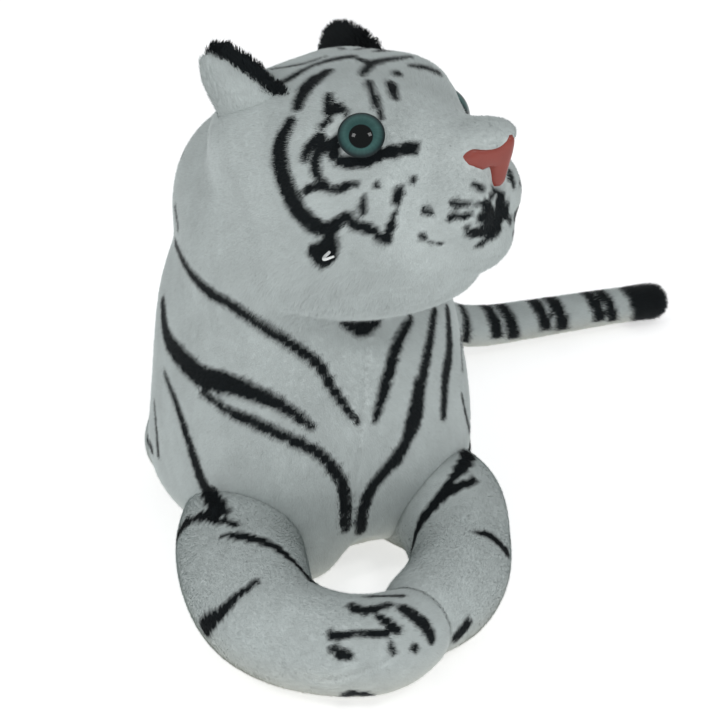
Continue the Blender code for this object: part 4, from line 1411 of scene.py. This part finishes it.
def growLimbs():
    perArea, length, lean = limbPile["perArea"], steady(limbPile["length"]), limbPile["lean"]
    for name, stations in (("rightArm", rightArmLine), ("leftArm", leftArmLine)):
        growWhole(name, perArea, length, limbFlow(stations), limbWanted, lean, **limbPile["armHabit"])
    for name in ("rightLeg", "leftLeg"):
        growWhole(name, perArea, length, legFlow, limbWanted, lean)


def tailLength(points):
    tip = 1 - lift(np.linalg.norm(points - tailLine[-1], axis=1), *tailPile["tip"])
    return tailPile["length"] + (tailPile["tipLength"] - tailPile["length"]) * tip


def growEars():
    for sideName in ("right", "left"):
        flow = earFlow(sideName)
        length = steady(earPile["length"])
        growWhole(f"{sideName}EarBack", earPile["perArea"], length, flow, earWanted, earPile["lean"])
        growWhole(
            f"{sideName}EarLining", earPile["liningPerArea"], steady(earPile["liningLength"]), flow, earWanted,
            earPile["liningLean"], bent=True, **earPile["liningHabit"],
        )

growBody()
growLimbs()
growWhole("tail", tailPile["perArea"], tailLength, limbFlow(tailLine), limbWanted, tailPile["lean"])
growEars()
print("pile grown:", {name: len(piece.data.polygons) for name, piece in pieces.items()})

# materials

def makeMottle():
    # soft uneven tone and a fine grain, for every finish here
    group = bpy.data.node_groups.new("mottle", "ShaderNodeTree")
    sockets = [
        ("Colour", "INPUT", "NodeSocketColor"), ("Tone size", "INPUT", "NodeSocketFloat"),
        ("Tone", "INPUT", "NodeSocketFloat"), ("Grain size", "INPUT", "NodeSocketFloat"),
        ("Colour", "OUTPUT", "NodeSocketColor"), ("Grain", "OUTPUT", "NodeSocketFloat"),
    ]
    for name, way, kind in sockets:
        group.interface.new_socket(name=name, in_out=way, socket_type=kind)
    start, end = addNode(group, "NodeGroupInput"), addNode(group, "NodeGroupOutput")
    place = addNode(group, "ShaderNodeTexCoord")
    broad = addNode(group, "ShaderNodeTexNoise", {"Detail": 3})
    fine = addNode(group, "ShaderNodeTexNoise", {"Detail": 4})
    shade = addNode(group, "ShaderNodeMath", {1: 0.5}, operation="SUBTRACT")
    scaled = addNode(group, "ShaderNodeMath", {2: 1.0}, operation="MULTIPLY_ADD")
    tint = addNode(group, "ShaderNodeVectorMath", operation="SCALE")
    wire(
        group, (place, "Object", broad, "Vector"), (place, "Object", fine, "Vector"),
        (start, "Tone size", broad, "Scale"), (start, "Grain size", fine, "Scale"), (broad, "Fac", shade, 0),
        (shade, 0, scaled, 0), (start, "Tone", scaled, 1), (start, "Colour", tint, 0), (scaled, 0, tint, "Scale"),
        (tint, 0, end, "Colour"), (fine, "Fac", end, "Grain"),
    )
    return group


mottle = makeMottle()


def mottled(tree, shader, toneSize, tone, grainSize):
    sizes = {"Tone size": toneSize, "Tone": tone, "Grain size": grainSize}
    node = addNode(tree, "ShaderNodeGroup", sizes, node_tree=mottle)
    wire(tree, (node, "Colour", shader, "Base Color"))
    return node


def bumped(tree, node, shader, strength, distance):
    bump = addNode(tree, "ShaderNodeBump", {"Strength": strength, "Distance": distance})
    wire(tree, (node, "Grain", bump, "Height"), (bump, "Normal", shader, "Normal"))


def pileMaterial(name, sheen, tone):
    material, tree, shader = newMaterial(name, {
        "Roughness": 0.85, "Specular IOR Level": 0.15, "Sheen Weight": sheen, "Sheen Roughness": 0.5,
    })
    # the pile colour carries painted shade at blade roots and painted light at blade tips
    read = addNode(tree, "ShaderNodeAttribute", attribute_name="pileColour")
    wire(tree, (read, "Color", mottled(tree, shader, 38, tone, 900), "Colour"))
    return material


def clothMaterial(name):
    # the knitted backing under the pile
    material, tree, shader = newMaterial(name, {"Roughness": 0.95, "Specular IOR Level": 0.1})
    read = addNode(tree, "ShaderNodeAttribute", attribute_name="clothColour")
    node = mottled(tree, shader, 60, 0.12, 1400)
    wire(tree, (read, "Color", node, "Colour"))
    bumped(tree, node, shader, 0.5, 0.0004)
    return material


iris = {
    # colour by share of the radius, from the middle out
    "stops": [
        (0.0, (0.020, 0.055, 0.052)), (0.50, (0.026, 0.070, 0.066)), (0.72, (0.040, 0.098, 0.092)),
        (0.86, (0.022, 0.056, 0.054)), (0.92, (0.010, 0.024, 0.025)), (1.0, (0.006, 0.010, 0.011)),
    ],
    "pupil": (0.485, 0.525), "pupilColour": (0.003, 0.004, 0.004), "lowered": 0.17,
    "spokes": 9, "spokeDetail": 5, "spokeTones": (0.72, 1.28),
}


def eyeMaterial():
    material, tree, shader = newMaterial("eyeGloss", {
        "Roughness": 0.06, "Specular IOR Level": 0.0, "Coat Weight": 1.0, "Coat Roughness": 0.02, "Coat IOR": 1.26,
    })
    place = addNode(tree, "ShaderNodeUVMap", uv_map="eyeMap")
    centred = addNode(tree, "ShaderNodeMapping", {"Location": (-1, -1, 0), "Scale": (2, 2, 0)})
    # the pupil looks a little down
    lower = addNode(tree, "ShaderNodeMapping", {"Location": (0, iris["lowered"], 0)})
    inner, outer = iris["pupil"]
    pupilReach = addNode(tree, "ShaderNodeVectorMath", operation="LENGTH")
    pupil = addNode(tree, "ShaderNodeMapRange", {"From Min": inner, "From Max": outer})
    blacked = addNode(tree, "ShaderNodeMix", {"A": (*iris["pupilColour"], 1)}, data_type="RGBA")
    radius = addNode(tree, "ShaderNodeVectorMath", operation="LENGTH")
    ramp = addNode(tree, "ShaderNodeValToRGB")
    elements = ramp.color_ramp.elements
    first, *between, last = iris["stops"]
    for element, (position, colour) in zip(elements, (first, last)):
        element.position, element.color = position, (*colour, 1)
    for position, colour in between:
        elements.new(position).color = (*colour, 1)
    dim, light = iris["spokeTones"]
    spokes = addNode(tree, "ShaderNodeTexNoise", {"Scale": iris["spokes"], "Detail": iris["spokeDetail"]})
    bright = addNode(tree, "ShaderNodeMapRange", {"To Min": dim, "To Max": light})
    tint = addNode(tree, "ShaderNodeVectorMath", operation="SCALE")
    ray = addNode(tree, "ShaderNodeVectorMath", operation="NORMALIZE")
    wire(
        tree, (place, 0, centred, "Vector"), (centred, 0, radius, 0), (centred, 0, ray, 0), (ray, 0, spokes, "Vector"),
        (radius, "Value", ramp, "Fac"), (spokes, "Fac", bright, "Value"), (ramp, "Color", tint, 0),
        (bright, 0, tint, "Scale"), (centred, 0, lower, "Vector"), (lower, 0, pupilReach, 0),
        (pupilReach, "Value", pupil, "Value"), (pupil, 0, blacked, "Factor"), (tint, 0, blacked, "B"),
        (blacked, "Result", shader, "Base Color"),
    )
    return material


def plasticMaterial(name, colour, roughness, coat, tone, bump):
    material, tree, shader = newMaterial(name, {
        "Roughness": roughness, "Coat Weight": coat, "Coat Roughness": 0.12,
    })
    node = mottled(tree, shader, 160, tone, 1500)
    node.inputs["Colour"].default_value = (*colour, 1)
    bumped(tree, node, shader, bump, 0.0002)
    return material


whitePile = pileMaterial("whitePile", 0.10, 0.10)
blackPile = pileMaterial("blackPile", 0.05, 0.30)
backingCloth = clothMaterial("backingCloth")
eyeGloss = eyeMaterial()
noseGloss = plasticMaterial("noseGloss", (0.222, 0.034, 0.022), 0.42, 0.12, 0.26, 0.12)
washerPlastic = plasticMaterial("washerPlastic", (0.80, 0.80, 0.79), 0.45, 0.0, 0.06, 0.1)
fastenerPlastic = plasticMaterial("fastenerPlastic", (0.72, 0.74, 0.73), 0.35, 0.0, 0.08, 0.05)


def dyeAndShadeCloth(skin, dye):
    mesh = skin.data
    points, normals = pointsOf(mesh), normalsOf(mesh)
    layer = mesh.color_attributes.new(name="clothColour", type="FLOAT_COLOR", domain="POINT")
    full = np.ones((len(points), 4), np.float32)
    # the backing takes the pile's colours, a little darker, with their painted seam shade and painted bounce light
    # included
    full[:, :3] = coloursFor(points, normals, dye(points), np.random.default_rng(5)) * 0.92
    layer.data.foreach_set("color", full.ravel())
    mesh.materials.clear()
    mesh.materials.append(backingCloth)


for name, skin in skins.items():
    dyeAndShadeCloth(skin, dyeOf(name))
for name, piece in pieces.items():
    piece.data.materials.append(blackPile if "Lining" in name else whitePile)
for eye in eyePieces.values():
    eye.data.materials.clear()
    eye.data.materials.append(eyeGloss)
nosePiece.data.materials.append(noseGloss)
fastenerPiece.data.materials.append(fastenerPlastic)
for nodeName in ("right_eye_washer", "left_eye_washer", "nose_washer"):
    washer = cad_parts[nodeName]
    for slotUsed in washer.material_slots:
        slotUsed.material = washerPlastic
print("materials made")

# riding: each piece is attached to its body or baked in place, and the CAD parts it stands for are hidden

neckStart = (*head["neck"], head["bendFrom"])
neckEnd = (*head["neck"], head["bendTo"])
tailRoot = np.array(tail["root"])
bends = {
    "body": ("torso", "head", neckStart, neckEnd),
    "rightArm": ("torso", "right_arm", (-0.030, -0.122, 0.040), (-0.030, -0.166, 0.040)),
    "leftArm": ("torso", "left_arm", (0.050, -0.122, 0.040), (0.050, -0.166, 0.040)),
    "tail": ("torso", "tail", tuple(tailRoot + (-0.004, -0.001, 0)), tuple(tailRoot + (0.014, 0.003, 0))),
}
rides = {
    "rightLeg": "right_hind_leg", "leftLeg": "left_hind_leg",
    "rightEarBack": "right_ear", "rightEarLining": "right_ear", "leftEarBack": "left_ear", "leftEarLining": "left_ear",
}
stands = {
    "body": ("torso_cover", "torso_stuffing", "head_cover", "head_stuffing"),
    "rightArm": ("right_arm_cover", "right_arm_stuffing"), "leftArm": ("left_arm_cover", "left_arm_stuffing"),
    "rightLeg": ("right_hind_leg_cover", "right_hind_leg_stuffing"),
    "leftLeg": ("left_hind_leg_cover", "left_hind_leg_stuffing"),
    "tail": ("tail_cover", "tail_stuffing"),
    "rightEarBack": ("right_ear_back",), "rightEarLining": ("right_ear_lining",),
    "leftEarBack": ("left_ear_back",), "leftEarLining": ("left_ear_lining",),
}


def join(piece, key):
    if key in bends:
        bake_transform(piece)
    else:
        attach(piece, rides[key])


for name, skin in skins.items():
    join(skin, name)
    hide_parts(*stands[name])
for name, piece in pieces.items():
    key = name.replace("Pile", "")
    join(piece, key if key in skins else "body")
for sideName, eye in eyePieces.items():
    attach(eye, "head")
    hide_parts(f"{sideName}_eye")
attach(nosePiece, "head")
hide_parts("nose")
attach(fastenerPiece, "head")
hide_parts("tag_fastener")

print("pieces joined to their bodies")
